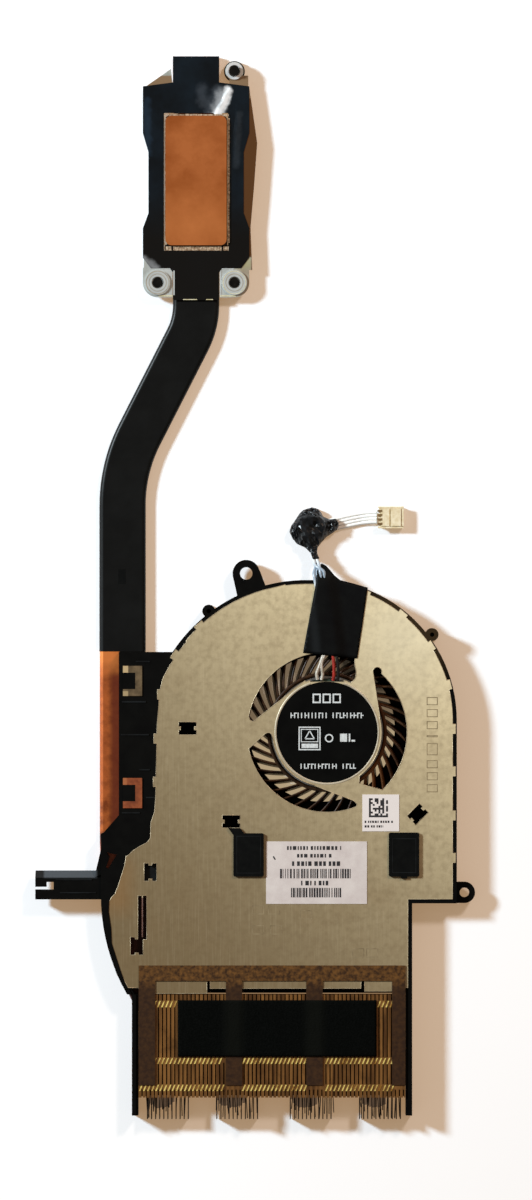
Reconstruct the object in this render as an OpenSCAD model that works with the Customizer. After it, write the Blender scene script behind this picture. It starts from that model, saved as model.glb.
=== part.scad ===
// Laptop cooling fan with its heatsink: a flat blower, a copper fin stack at its
// outlet, a flattened heat pipe and the cold plate that bolts over the processor.
// The fan's axis is the origin of the drawing and +Z is the motor plate's side.
// place() then moves everything so that the whole part stands on z = 0.

/* [Fan case] */
// Radius of the spiral wall on the left side
case_r = 40; // [39:0.5:41]
// Radius of the turn on the right side
turn_r = 35; // [34.5:0.1:35.5]
// Distance from the fan's axis to the straight right wall
right_x = 32.4; // [32:0.1:33]
// Rise of the right turn's centre above the fan's axis
turn_rise = 3; // [2.5:0.1:3.5]
// Shift of the spiral wall's centre to the left of the axis
spiral_shift = 5.2; // [5:0.1:5.6]
// Radius of the bulge that holds the pipe's bend
lobe_r = 50; // [49:0.5:52]
// Distance from the fan's axis to the case's left side
side_x = 56.5; // [56:0.1:57]
// Distance below the axis at which the bulge is widest
lobe_drop = 40.75; // [40:0.25:42]
// Height of the case
case_h = 6.4; // [6.3:0.1:7]
// Thickness of the case's floor
floor_t = 0.8; // [0.6:0.1:0.9]
// Width of the rim round the motor plate
rim_w = 1; // [0.8:0.1:1.2]
// Width of the ledge that carries the motor plate
ledge_w = 0.6; // [0.4:0.1:0.8]
// Top edge of the black frame above the axis
frame_top = 20; // [19:0.5:20.5]
// Distance below the axis at which the right wall turns in
step_drop = 42.75; // [42:0.25:43.5]
// Left side of the outlet from the axis
outlet_left = 48.75; // [48.5:0.05:49]
// Right side of the outlet from the axis
outlet_right = 21.25; // [21:0.05:21.5]
// Distance from the axis to the lower ends of the outlet's walls
outlet_drop = 95.75; // [95:0.25:96.5]
// Radius of the round inlet in the floor
rear_inlet_r = 18.3; // [17.5:0.1:19]

/* [Case details] */
// Thickness of the mounting lugs
lug_t = 2; // [1.5:0.1:2.2]
// Hole radius of the upper lug
lug_top_hole_r = 1.55; // [1.4:0.05:1.7]
// Outer radius of the upper lug
lug_top_r = 3.4; // [3.2:0.1:3.8]
// Hole radius of the right lug
lug_right_hole_r = 1.2; // [1:0.05:1.3]
// Outer radius of the right lug
lug_right_r = 2.65; // [2.4:0.05:2.8]
// Radius of the two small posts on the wall
post_r = 1.6; // [1.4:0.1:1.8]
// Radius of the posts' blind holes
post_hole_r = 0.55; // [0.4:0.05:0.7]
// Length of the clip arm on the left
arm_l = 16.4; // [15:0.2:17]
// Width of the clip arm
arm_w = 7.15; // [6.8:0.05:7.4]
// Thickness of the clip arm
arm_t = 3; // [2.6:0.1:3.2]

/* [Motor plate] */
// Thickness of the motor plate
plate_t = 0.5; // [0.4:0.05:0.6]
// Radius of the inlet in the motor plate
inlet_r = 20; // [19.5:0.1:20.4]
// Radius of the plate's middle disc
disc_r = 13.6; // [13.4:0.1:13.8]
// Width of the opening that lets the wires out of the disc
wire_gap_w = 8.5; // [7.5:0.1:9]
// Width of the small tabs that reach over the rim
tab_w = 2.4; // [2:0.1:2.8]
// Length of a waisted slot in the plate
stake_l = 4.5; // [4:0.1:4.8]
// Width of a waisted slot in the plate
stake_w = 3.2; // [2.9:0.1:3.4]

/* [Impeller] */
// Number of blades
blade_n = 37; // [31:1:41]
// Radius at the blade tips
tip_r = 28; // [27:0.1:28.4]
// Outer radius of the impeller's hub
hub_r = 15; // [14.9:0.1:15.4]
// Thickness of a blade
blade_t = 0.6; // [0.45:0.05:0.7]
// Radius of a blade's curve
blade_curve_r = 30; // [26:0.5:34]
// Angle by which a blade's tip trails its root
blade_lag = 33; // [30:1:35]
// Gap between the impeller and the floor
floor_gap = 0.3; // [0.25:0.05:0.4]
// Height of the impeller
impeller_h = 4.1; // [3.9:0.05:4.2]

/* [Motor] */
// Radius of the shaft
shaft_r = 1; // [0.8:0.05:1.1]
// Running gap between shaft and bearing
shaft_gap = 0.03; // [0.02:0.01:0.06]
// Outer radius of the bearing
bearing_r = 2.4; // [2.2:0.1:2.6]
// Outer radius of the bearing holder
holder_r = 3.2; // [3.1:0.1:3.5]
// Wall of the rotor's steel cup
yoke_t = 0.6; // [0.5:0.05:0.7]
// Radial thickness of the ring magnet
magnet_t = 1.4; // [1.2:0.1:1.6]
// Gap between magnet and stator
air_gap = 0.4; // [0.3:0.05:0.5]
// Number of stator poles
pole_n = 9; // [6:3:12]
// Width of a stator arm
arm_iron_w = 1.4; // [1.2:0.1:1.6]
// Radius of the label on the hub
hub_label_r = 12.6; // [12:0.1:12.8]

/* [Heat pipe] */
// Width of the flattened pipe
pipe_w = 11.4; // [11:0.1:11.8]
// Thickness of the flattened pipe
pipe_t = 2; // [1.9:0.05:2.1]
// Height of the pipe's underside
pipe_z = 0.4; // [0.3:0.05:0.6]
// Distance of the cold end's centreline from the fan's axis
cold_x = 32.75; // [32.5:0.05:33]
// Distance of the fan side's centreline from the fan's axis
fan_x = 51.15; // [51:0.05:51.4]
// Length of the cold run below the contact block's centre
cold_run_l = 31.1; // [30.8:0.1:31.5]
// Distance of the pipe's upper end above the contact block's centre
pipe_rise = 31.1; // [30.8:0.1:31.5]
// Slope of the pipe between its two long runs
slope_a = 27; // [25:0.5:29]
// Radius of the upper bend
bend_upper_r = 19; // [17:0.5:21]
// Radius of the second bend
bend_lower_r = 39; // [36:0.5:42]
// Height above the axis at which the fan side's long run starts
long_run_top = 56.75; // [55:0.25:58]
// Depth below the axis at which the long run ends
long_run_end = 27.7; // [27:0.1:28]
// Radius of the two bends inside the bulge
bulge_bend_r = 30; // [28:0.5:32]
// Shift of the pipe inside the bulge
bulge_shift = 5.15; // [5:0.05:5.4]
// Radius of the bend under the fins
fin_bend_r = 18; // [17.5:0.1:18.2]
// Distance of the pipe's run under the fins below the axis
fin_run_drop = 74; // [73.8:0.05:74.2]
// Distance of the pipe's far end to the right of the axis
pipe_end_x = 18.5; // [17:0.1:19]
// Thickness of the black film round the pipe
film_t = 0.1; // [0.05:0.01:0.12]

/* [Fins] */
// Distance between two fins
fin_pitch = 1.02; // [0.9:0.02:1.2]
// Thickness of a fin
fin_t = 0.25; // [0.2:0.01:0.35]
// Distance of the fins' upper edge below the axis
fin_drop = 65.5; // [65.3:0.05:65.8]
// Length of a fin
fin_l = 25.75; // [25:0.05:26]
// Extra length of the longer fins
fin_extra = 5.5; // [5:0.1:6]
// Distance between two groups of longer fins
group_pitch = 17.75; // [17.5:0.05:18]
// Width of a group of longer fins
group_w = 11.2; // [10.8:0.1:11.6]
// Thickness of the fins' folded flanges
flange_t = 0.2; // [0.15:0.01:0.3]
// Thickness of the copper frame on the fins
frame_t = 0.3; // [0.2:0.05:0.4]
// Thickness of the foam pad on the fins
pad_t = 0.5; // [0.3:0.05:0.8]

/* [Cold plate] */
// Thickness of the steel bracket
bracket_t = 0.8; // [0.7:0.05:1]
// Half width of the bracket
bracket_half_w = 13.3; // [13:0.05:13.6]
// Half width at the bracket's waist
waist_half_w = 11.9; // [11.6:0.05:12.2]
// Width of the copper contact block
block_w = 15.3; // [15:0.1:15.6]
// Length of the copper contact block
block_l = 32.4; // [32:0.1:32.8]
// Height of the contact block above the pipe
block_h = 1.8; // [1.6:0.05:2.2]
// Distance of the lower screws below the contact block's centre
screw_drop = 25.5; // [25.2:0.1:25.8]
// Distance of the upper screw above the contact block's centre
screw_rise = 27.4; // [27:0.1:27.8]
// Half distance between the lower screws
screw_half_w = 9.6; // [9.4:0.05:9.8]
// Outer radius of the bracket's ears
ear_r = 3.7; // [3.5:0.05:3.8]
// Outer radius of a screw's collar
collar_r = 3.1; // [2.9:0.1:3.3]
// Height of a collar above the bracket
collar_h = 0.5; // [0.4:0.05:0.7]
// Radius of a captive screw's thread
thread_r = 1.25; // [1.1:0.05:1.3]
// Radius of a captive screw's head
head_r = 2.6; // [2.4:0.1:2.8]
// Travel of a captive screw
screw_travel = 0.8; // [0.6:0.05:0.8]

/* [Pads and labels] */
// Thickness of a label
label_t = 0.1; // [0.08:0.01:0.15]
// Thickness of a rubber pad on the motor plate
rubber_t = 0.7; // [0.5:0.05:1]
// Width of the large label
label_w = 25.2; // [24:0.1:26]
// Height of the large label
label_l = 15.6; // [15:0.1:16]
// Side of the small label
small_label_w = 9.2; // [8.8:0.1:9.4]

/* [Cable] */
// Width of the flat bundle of wires
cable_w = 3.2; // [2.8:0.1:3.6]
// Thickness of the flat bundle of wires
cable_t = 0.8; // [0.7:0.05:0.9]
// Thickness of the tape over the wires
tape_t = 0.15; // [0.1:0.01:0.2]
// Height of the tape wrapped round the folded wires
wrap_h = 4.4; // [4:0.1:5]
// Length of the connector
plug_l = 6.7; // [6.4:0.1:7]
// Width of the connector
plug_w = 5.4; // [5.2:0.1:5.8]
// Height of the connector
plug_h = 2.6; // [2.4:0.1:2.8]
// Number of contacts in the connector
contact_n = 4; // [3:1:5]

/* [Hidden] */
$fn = 96;

// One overrun for every cut, and the clearance between pieces that only lie together.
over = 1;
fit = 0.05;
slip = 0.15;
// Straight runs reach this far into the bends beside them, and are thicker by this much.
weld = 0.2;
weld_step = 0.01;
weld_a = weld / bulge_bend_r * 180 / PI;

// Places of the case's arcs. Both arcs share the same highest point.
turn_c = [right_x - turn_r, turn_rise];
spiral_c = [-spiral_shift, turn_rise + turn_r - case_r];
lobe_c = [lobe_r - side_x, -lobe_drop];
outlet_w = outlet_left + outlet_right;
seat_w = rim_w + ledge_w;
plate_z = case_h - 0.8 * plate_t;
plate_top = plate_z + plate_t;

// Left edge of the plate and of the air space under it, round to the far corners.
plate_edge_shares = [
    [-0.88, 1.2], [-0.88, 0.56], [-0.93, 0.5], [-0.981, 0.419], [-1.025, 0.3375],
    [-1.045, 0.26], [-1.062, 0.04], [-1.072, -0.425], [-1.078, -0.5], [-1.1, -0.5625],
    [-1.104, -0.6625], [-1.125, -0.69], [-1.169, -0.7125], [-1.2125, -0.74],
    [-1.2406, -0.769], [-1.256, -0.775], [-1.264, -0.831], [-1.306, -0.9625],
    [-1.325, -1.0125], [-1.344, -1.028], [-1.36, -1.056], [-1.5, -1.075], [-1.5, -2.6],
    [1.2, -2.6], [1.2, 1.2]
];
// Places of the waisted slots, with the turn of each.
stake_shares = [
    [-0.871, 0.024, 0], [-1.103, -0.874, 90], [-1.188, -1.335, 90],
    [0.565, -0.5125, 45], [-0.598, -0.558, 0]
];
// Directions of the tabs on the right turn, and heights of those on the straight sides.
turn_tab_angles = [15, 33, 51, 69, 87, 105, 123];
spiral_tab_angles = [133, 147];
right_tab_shares = [0.02, -0.245, -0.52, -0.785];
left_tab_shares = [[-1.042, 0.235], [-1.064, -0.04], [-1.068, -0.31]];
// The three arms that carry the middle disc, as shares of the inlet's radius.
spoke_left_shares = [
    [-0.275, 0.645], [-0.87, 0.172], [-0.9, 0.143], [-0.925, 0.134], [-0.95, 0.14],
    [-0.967, 0.158], [-0.978, 0.19], [-1.06, 0.22], [-1.06, -0.25], [-0.97, -0.2],
    [-0.77, -0.018], [-0.745, -0.006], [-0.715, -0.006], [-0.692, -0.025],
    [-0.684, -0.055], [-0.6, -0.08], [0, 0]
];
spoke_upper_shares = [
    [0.3, 0.5], [0.3, 0.62], [0.325, 0.64], [0.35, 0.665], [0.363, 0.7], [0.365, 0.76],
    [0.35, 0.83], [0.345, 0.89], [0.37, 1.05], [0.7, 1.05], [0.605, 0.8], [0.575, 0.745],
    [0.66, 0.2], [0, 0]
];
spoke_lower_shares = [
    [0.405, -0.5], [0.4, -0.64], [0.68, -0.72], [0.8, -0.85], [0.45, -1.05], [0.365, -0.935],
    [0.375, -0.895], [0.333, -0.855], [-0.15, -0.67], [0, 0]
];

// Heights of the motor's layers, from the floor upwards.
impeller_z = floor_t + floor_gap;
impeller_top = impeller_z + impeller_h;
hub_wall = 1;
blade_inset = 0.1;
hub_floor_t = 0.8;
yoke_r = hub_r - hub_wall;
yoke_z = impeller_z + hub_floor_t;
yoke_floor_t = 0.4;
magnet_r = yoke_r - yoke_t;
magnet_in_r = magnet_r - magnet_t;
stator_r = magnet_in_r - air_gap;
board_t = 0.55;
board_r = disc_r - 0.7 * board_t;
board_z = plate_z - board_t;
holder_cap_t = 0.4;
washer_t = 0.25;
washer_gap = 0.03;
shaft_top = plate_z - holder_cap_t - washer_t - 2 * washer_gap;
holder_z = yoke_z + yoke_floor_t + 0.5 * yoke_floor_t;
iron_t = 1.2;
iron_z = holder_z + iron_t * 0.6;
coil_w = 2.6;
coil_z_share = 0.45;

// The pipe's bends. Each pair of bends is set by its slope and by its shift.
pipe_top_z = pipe_z + pipe_t + weld_step;
upper_drop = bend_upper_r * sin(slope_a);
lower_drop = bend_lower_r * sin(slope_a);
side_shift = fan_x - cold_x;
bend_shift = (bend_upper_r + bend_lower_r) * (1 - cos(slope_a));
slant_drop = (side_shift - bend_shift) / tan(slope_a);
slant_l = slant_drop / cos(slope_a);
slope_top = long_run_top + lower_drop + slant_drop + upper_drop;
block_rise = slope_top + cold_run_l;
pipe_top = block_rise + pipe_rise;
bulge_a = acos(1 - bulge_shift / (2 * bulge_bend_r));
bulge_drop = 2 * bulge_bend_r * sin(bulge_a);
inner_x = bulge_shift - fan_x;
fin_bend_y = fin_bend_r - fin_run_drop;
channel_gap = 0.1;

// The fins fill the outlet between its walls.
fin_x0 = seat_w + 0.1 * rim_w - outlet_left;
fin_span = outlet_w - 2 * seat_w - 0.2 * rim_w;
fin_n = floor((fin_span - fin_t) / fin_pitch) + 1;
fin_z = pipe_top_z;
fin_top = plate_top;
fin_back = fin_drop + fin_l;
fin_seat_drop = fin_run_drop + pipe_w / 2 + channel_gap;
group_x0 = fin_x0 + group_pitch * 0.075;
group_n = 4;
lock_w = 1.3;
// A fin's folded edge covers this share of the way to the next fin.
fold_share = 0.7;
// Distances of the three rows of folded locks from the fins' upper edge.
lock_row_shares = [0.06, 0.61, 0.872];

// The cold plate's pieces lie round the pipe's centreline.
bracket_z = pipe_top_z;
bracket_top = bracket_z + bracket_t;
block_flange_h = 0.5 * block_h;
block_flange = 0.4;
block_round = 1.5;
film_neck_l = 0.922 * block_l;
collar_z = bracket_z;
collar_lip_t = 0.3;
collar_top = bracket_top + collar_h;
neck_r = 0.95;
collar_bore_r = thread_r + 0.2 * thread_r;
collar_lip_r = neck_r + slip;
head_t = 1.1;
long_tip = 1.2;
// The upper ear is a small one, and its screw stands out of it.
small_ear_r = 2.3;
small_collar_r = 2.15;
screw_spots = [
    [-cold_x - screw_half_w, block_rise - screw_drop],
    [-cold_x + screw_half_w, block_rise - screw_drop],
    [-cold_x + screw_half_w, block_rise + screw_rise]
];

// The wires' route from the motor to the connector, chosen by hand.
cable_route = [
    [0, 13, 6.4], [0.1, 14.5, 6.7], [0.3, 17, 6.9], [0.4, 20, 6.9], [0.1, 24, 6.9],
    [-0.5, 29, 6.9], [-1.2, 34, 6.9], [-1.8, 38, 6.9], [-2.1, 40, 6.4], [-2.4, 41.6, 5.1],
    [-2.8, 43.2, 3.7], [-3.1, 45.5, 2.5], [-2.8, 48, 2.1], [-1.6, 50.2, 2], [0.4, 51.6, 1.8],
    [2.8, 52.2, 1.4], [5.4, 52.8, 0.7], [8.4, 53.4, 0.6], [10.8, 53.7, 0.9], [12.65, 53.7, 1.2]
];
plug_c = [16, 53.7];

// The origin lies under the middle of the part's box, so everything moves by this much.
part_left = side_x + arm_l;
part_right = lug_right_hole_x() + lug_right_r;
part_top = max(pipe_top, block_rise + screw_rise + small_ear_r);
part_bottom = fin_back + fin_extra;
shift_x = (part_left - part_right) / 2;
shift_y = (part_bottom - part_top) / 2;

function lug_right_hole_x() = right_x + 0.74 * lug_right_r;
function lug_top_c() = [-0.505 * case_r, 0.991 * case_r];
function lug_right_c() = [lug_right_hole_x(), lug_right_r - step_drop];
function scaled(shares, size) = [for (p = shares) [p.x * size, p.y * size]];

module place() {
    translate([shift_x, shift_y, 0]) children();
}

// The case seen from above, drawn in from its outer edge by d.
module case_plan(d = 0) {
    translate(turn_c) circle(turn_r - d);
    intersection() {
        translate(spiral_c) circle(case_r - d);
        translate([spiral_c.x - case_r, spiral_c.y - case_r])
            square([case_r + turn_c.x - spiral_c.x, 2 * case_r]);
    }
    translate([0, d - step_drop]) square([right_x - d, step_drop + turn_rise - d]);
    translate([d - side_x, -lobe_drop]) square([side_x - d, frame_top + lobe_drop - d]);
    intersection() {
        translate(lobe_c) circle(lobe_r - d);
        translate([-side_x, -fin_drop]) square([side_x, fin_drop - lobe_drop + over]);
    }
    translate([d - outlet_left, -outlet_drop])
        square([outlet_w - 2 * d, outlet_drop - step_drop + d]);
}

// The plate's outline, drawn in from the case's outer edge by d.
module plate_plan(d) {
    intersection() {
        case_plan(d);
        translate([d - rim_w, 0]) polygon(scaled(plate_edge_shares, case_r));
    }
}

// Small tabs on the plate's edge that reach over the rim, each made wider by g.
module plate_tabs(g = 0) {
    reach = 0.7 * rim_w;
    w = tab_w + 2 * g;
    for (a = turn_tab_angles)
        translate(turn_c) rotate(a)
            translate([turn_r - rim_w - ledge_w, -w / 2]) square([ledge_w + reach + g, w]);
    for (a = spiral_tab_angles)
        translate(spiral_c) rotate(a)
            translate([case_r - rim_w - ledge_w, -w / 2]) square([ledge_w + reach + g, w]);
    for (s = right_tab_shares)
        translate([right_x - rim_w - ledge_w, s * case_r - w / 2])
            square([ledge_w + reach + g, w]);
    for (s = left_tab_shares)
        translate([s.x * case_r - reach - g, s.y * case_r - w / 2])
            square([ledge_w + reach + g, w]);
}

module rounded_rect(w, l, r) {
    translate([r - w / 2, -l / 2]) square([w - 2 * r, l]);
    translate([-w / 2, r - l / 2]) square([w, l - 2 * r]);
    for (x = [-1, 1], y = [-1, 1])
        translate([x * (w / 2 - r), y * (l / 2 - r)]) circle(r);
}

// Heat pipe: a section that is carried along straight runs and bends. The section is
// the pipe's own, grown by g all round, or that of the channel that the case leaves for it.
module path_section(g, channel) {
    r = pipe_t / 2 + g;
    w = pipe_w + 2 * g;
    if (channel) {
        translate([-w / 2, -pipe_t - over]) square([w, pipe_t + over + r]);
    } else {
        translate([r - w / 2, -r]) square([w - 2 * r, 2 * r]);
        for (x = [-1, 1]) translate([x * (w / 2 - r), 0]) circle(r, $fn = 32);
    }
}

// A straight run from p, turned by a from straight down, of length l. It reaches a
// little into the bends beside it, a hair thicker than they are, so that they join.
module run(p, a, l, g, channel) {
    translate([p.x, p.y, pipe_z + pipe_t / 2]) rotate([0, 0, a]) rotate([90, 0, 0])
        translate([0, 0, -weld]) linear_extrude(l + 2 * weld) path_section(g + weld_step, channel);
}

// A bend of radius r round c, from angle a0 through a.
module bend(c, r, a0, a, g, channel) {
    translate([c.x, c.y, pipe_z + pipe_t / 2]) rotate([0, 0, a0])
        rotate_extrude(angle = a) translate([r, 0]) path_section(g, channel);
}

module cold_run(g) {
    run([-cold_x, pipe_top - weld], 0, pipe_top - weld - slope_top, g, false);
}

module slope_runs(g) {
    upper_c = [-cold_x - bend_upper_r, slope_top];
    lower_c = [bend_lower_r - fan_x, long_run_top];
    slant_start = [
        upper_c.x + bend_upper_r * cos(slope_a), upper_c.y - bend_upper_r * sin(slope_a)
    ];
    bend(upper_c, bend_upper_r, -slope_a, slope_a, g, false);
    run(slant_start, -slope_a, slant_l, g, false);
    bend(lower_c, bend_lower_r, 180 - slope_a, slope_a, g, false);
}

module long_run(end_y, g, channel) {
    run([-fan_x, long_run_top], 0, long_run_top - end_y, g, channel);
}

module fin_run(g, channel) {
    bulge_end = -long_run_end - bulge_drop;
    bend([bulge_bend_r - fan_x, -long_run_end], bulge_bend_r, 180, bulge_a, g, channel);
    bend([inner_x - bulge_bend_r, bulge_end], bulge_bend_r, 0, bulge_a + weld_a, g + weld_step,
        channel);
    run([inner_x, bulge_end], 0, bulge_end - fin_bend_y, g + weld_step, channel);
    bend([inner_x + fin_bend_r, fin_bend_y], fin_bend_r, 180, 90, g, channel);
    run([inner_x + fin_bend_r, -fin_run_drop], 90, pipe_end_x - inner_x - fin_bend_r, g, channel);
}

module pipe_body() {
    cold_run(0);
    slope_runs(0);
    long_run(-long_run_end, 0, false);
    fin_run(0, false);
}

module heat_pipe() {
    color([0.68, 0.33, 0.17]) place() pipe_body();
}

module pipe_film() {
    cold_cover_l = 0.11 * cold_run_l;
    color([0.06, 0.07, 0.08]) place() difference() {
        union() {
            run([-cold_x, slope_top + cold_cover_l], 0, cold_cover_l, film_t, false);
            slope_runs(film_t);
            long_run(frame_top + slip + weld, film_t, false);
        }
        pipe_body();
    }
}

// Case: floor, wall, frame over the pipe, lugs, posts and clip arm in one moulding.
module fan_housing() {
    color([0.06, 0.06, 0.07]) place() difference() {
        union() {
            linear_extrude(case_h) case_plan();
            case_lugs();
            clip_arm();
            linear_extrude(case_h) case_posts();
            boss_pair();
        }
        translate([0, 0, plate_z]) linear_extrude(case_h) {
            plate_plan(rim_w);
            plate_tabs(fit);
            outlet_mouth();
        }
        translate([0, 0, floor_t]) linear_extrude(case_h) {
            plate_plan(seat_w);
            outlet_mouth();
        }
        translate([0, 0, -over]) linear_extrude(case_h + 2 * over) {
            fin_opening();
            frame_window();
            translate([-0.065 * inlet_r, 0.04 * inlet_r]) circle(rear_inlet_r);
        }
        translate([0, 0, pipe_z + pipe_t / 2]) linear_extrude(case_h) frame_slit();
        pipe_channel();
        post_holes();
    }
}

// The frame leaves the pipe bare at its left, down to a slanted corner.
module frame_window() {
    frame_left = fan_x + 0.075 * pipe_w;
    polygon([
        [-side_x - over, frame_top + over], [-frame_left, frame_top + over],
        [-frame_left, -0.519 * case_r], [0.65 * rim_w - side_x, -0.628 * case_r],
        [-side_x - over, -0.644 * case_r]
    ]);
}

// A slanted slit lower down shows a sliver of the pipe.
module frame_slit() {
    slit_shares = [
        [-1.381, -0.844], [-1.3656, -0.853], [-1.328, -0.7875], [-1.3125, -0.7656],
        [-1.378, -0.75], [-1.358, -0.781]
    ];
    polygon(scaled(slit_shares, case_r));
}

module outlet_mouth() {
    translate([seat_w - outlet_left, -outlet_drop - over])
        square([outlet_w - 2 * seat_w, outlet_drop - fin_drop + 2 * over]);
}

// The floor stops before the fins, which close the outlet themselves.
module fin_opening() {
    step = 0.14 * rim_w;
    translate([seat_w - outlet_left, -outlet_drop - over])
        square([outlet_w - 2 * seat_w, outlet_drop - fin_drop + over + step]);
}

module pipe_channel() {
    long_run(-long_run_end, channel_gap, true);
    fin_run(channel_gap, true);
}

module case_lugs() {
    lug_z = 0.5 * case_h - 0.5 * lug_t;
    neck_shares = [[-0.59, 0.98], [-0.55, 0.8], [-0.36, 0.85], [-0.42, 1.01]];
    translate([0, 0, lug_z]) difference() {
        linear_extrude(lug_t) {
            translate(lug_top_c()) circle(lug_top_r);
            polygon(scaled(neck_shares, case_r));
            translate(lug_right_c()) circle(lug_right_r);
            translate([right_x - rim_w, lug_right_c().y - lug_right_r])
                square([lug_right_c().x - right_x + rim_w, 2 * lug_right_r]);
        }
        translate([lug_top_c().x, lug_top_c().y, -over])
            cylinder(r = lug_top_hole_r, h = lug_t + 2 * over);
        translate([lug_right_c().x, lug_right_c().y, -over])
            cylinder(r = lug_right_hole_r, h = lug_t + 2 * over);
    }
}

function post_spots() = [[-0.739 * case_r, 0.756 * case_r], [0.656 * case_r, 0.609 * case_r]];

module case_posts() {
    for (p = post_spots()) translate(p) circle(post_r);
    translate([outlet_right - seat_w - 0.75 * rim_w, -outlet_drop])
        square([0.75 * rim_w + seat_w, outlet_drop - fin_back - slip]);
}

module post_holes() {
    hole_l = 0.6 * case_h;
    for (p = post_spots())
        translate([p.x, p.y, case_h - hole_l]) cylinder(r = post_hole_r, h = hole_l + over);
}

// Clip arm: a bar with a sloped upper face and a forked end.
module clip_arm() {
    z0 = pipe_top_z + 2 * channel_gap;
    y0 = -1.045 * case_r;
    slope_w = 0.24 * arm_w;
    root = 0.12 * arm_l;
    fork_l = 0.28 * arm_l;
    fork_w = 0.1 * arm_w;
    eye_l = 0.11 * arm_l;
    difference() {
        translate([-side_x - arm_l, y0, z0]) rotate([90, 0, 90]) linear_extrude(arm_l + root)
            polygon([[0, 0], [arm_w, 0], [arm_w - slope_w, arm_t], [0, arm_t]]);
        translate([-side_x - arm_l - over, y0 + 0.34 * arm_w, z0 - over])
            cube([fork_l + over, fork_w, arm_t + 2 * over]);
        translate([-side_x - arm_l + fork_l - eye_l, y0 + 0.34 * arm_w, z0 - over])
            cube([eye_l, 0.27 * arm_w, arm_t + 2 * over]);
    }
    translate([0, 0, z0]) linear_extrude(arm_t)
        polygon([
            [root - side_x, y0 + arm_w], [-side_x - 0.1 * arm_l, y0 + arm_w - slope_w],
            [-side_x, y0 + 1.75 * arm_w], [root - side_x, y0 + 1.75 * arm_w]
        ]);
}

// Two square bosses on the frame that the pipe's metal clips hook round.
function clip_c(i) = [-side_x + 0.62 * pipe_w, (i == 0 ? 0.32 : -0.38) * case_r];

module boss_pair() {
    for (i = [0, 1])
        translate([clip_c(i).x, clip_c(i).y, 0])
            linear_extrude(case_h + frame_t) square([0.27 * pipe_w, 0.36 * pipe_w], center = true);
}

module pipe_clip(i) {
    boss_l = 0.36 * pipe_w;
    boss_w = 0.27 * pipe_w;
    leg = 0.15 * pipe_w;
    color(i == 0 ? [0.5, 0.44, 0.36] : [0.55, 0.28, 0.18]) place()
        translate([clip_c(i).x, clip_c(i).y, case_h]) linear_extrude(frame_t) {
            translate([boss_w / 2, -boss_l / 2 - leg]) square([leg, boss_l + 2 * leg]);
            for (y = [boss_l / 2, -boss_l / 2 - leg])
                translate([-boss_w / 2, y]) square([boss_w, leg]);
        }
}

module pipe_clip_upper() {
    pipe_clip(0);
}

module pipe_clip_lower() {
    pipe_clip(1);
}

// A slot with a waist at the middle of its short sides.
module stake_slot() {
    notch = 0.12 * stake_l;
    difference() {
        square([stake_l, stake_w], center = true);
        for (x = [-1, 1]) translate([x * stake_l / 2, 0])
            square([2 * notch, 0.26 * stake_w], center = true);
    }
}

// Motor plate: one stamped sheet with the inlet, its three arms and the slots.
module motor_plate() {
    color([0.72, 0.66, 0.52]) place() translate([0, 0, plate_z]) linear_extrude(plate_t)
        difference() {
            union() {
                intersection() {
                    plate_plan(rim_w + fit);
                    plate_end();
                }
                plate_tabs();
            }
            inlet_openings();
            for (s = stake_shares)
                translate([s.x * case_r, s.y * case_r]) rotate(s[2]) stake_slot();
            rib_slots();
        }
}

// The sheet ends in lips of different lengths over the fins' edge, with two gaps.
module plate_end() {
    base_y = 1.7 * rim_w - fin_drop;
    lip_shares = [[0, 1, 0.2], [0.05, 0.256, 1.45], [0.847, 0.96, 0.9]];
    gap_shares = [[0.256, 0.268], [0.834, 0.847]];
    difference() {
        union() {
            translate([-2 * side_x, base_y]) square([4 * side_x, 4 * side_x]);
            for (s = lip_shares)
                translate([fin_x0 + s[0] * fin_span, base_y - s[2] * rim_w])
                    square([(s[1] - s[0]) * fin_span, (s[2] + 0.3) * rim_w]);
        }
        for (s = gap_shares)
            translate([fin_x0 + s[0] * fin_span, base_y - 2 * rim_w])
                square([(s[1] - s[0]) * fin_span, 3.8 * rim_w]);
    }
}

// The inlet's three windows: the right one ends in a round nose.
module inlet_openings() {
    nose = [0.628, 0.757];
    difference() {
        circle(inlet_r);
        difference() {
            circle(disc_r);
            translate([-wire_gap_w / 2, hub_label_r - fit]) square([wire_gap_w, inlet_r]);
        }
        for (s = [spoke_left_shares, spoke_upper_shares, spoke_lower_shares])
            polygon(scaled(s, inlet_r));
    }
    translate(nose * inlet_r) circle(0.056 * inlet_r);
}

// A pair of narrow slots beside each other at the left.
module rib_slots() {
    slot_w = 0.025 * case_r;
    slot_l = 0.275 * case_r;
    for (x = [-1.181, -1.1505])
        translate([x * case_r, -1.295 * case_r]) square([slot_w, slot_l]);
}

// Impeller: a hub cup with thin curved blades that trail its turning.
module impeller() {
    root = [hub_r - hub_wall / 2, 0];
    tip = [tip_r * cos(blade_lag), -tip_r * sin(blade_lag)];
    chord = tip - root;
    half = norm(chord) / 2;
    back = sqrt(blade_curve_r * blade_curve_r - half * half);
    side = [chord.y, -chord.x] / norm(chord);
    c = (root + tip) / 2 + side * back;
    a0 = atan2(tip.y - c.y, tip.x - c.x);
    a1 = atan2(root.y - c.y, root.x - c.x);
    color([0.16, 0.11, 0.08]) place() translate([0, 0, impeller_z]) {
        difference() {
            cylinder(r = hub_r, h = impeller_h);
            translate([0, 0, hub_floor_t]) cylinder(r = yoke_r, h = impeller_h);
        }
        for (i = [0:blade_n - 1])
            rotate(i * 360 / blade_n) translate([c.x, c.y, blade_inset]) rotate(a0)
                rotate_extrude(angle = a1 - a0)
                    translate([blade_curve_r - blade_t / 2, 0])
                        square([blade_t, impeller_h - 2 * blade_inset]);
    }
}

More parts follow.
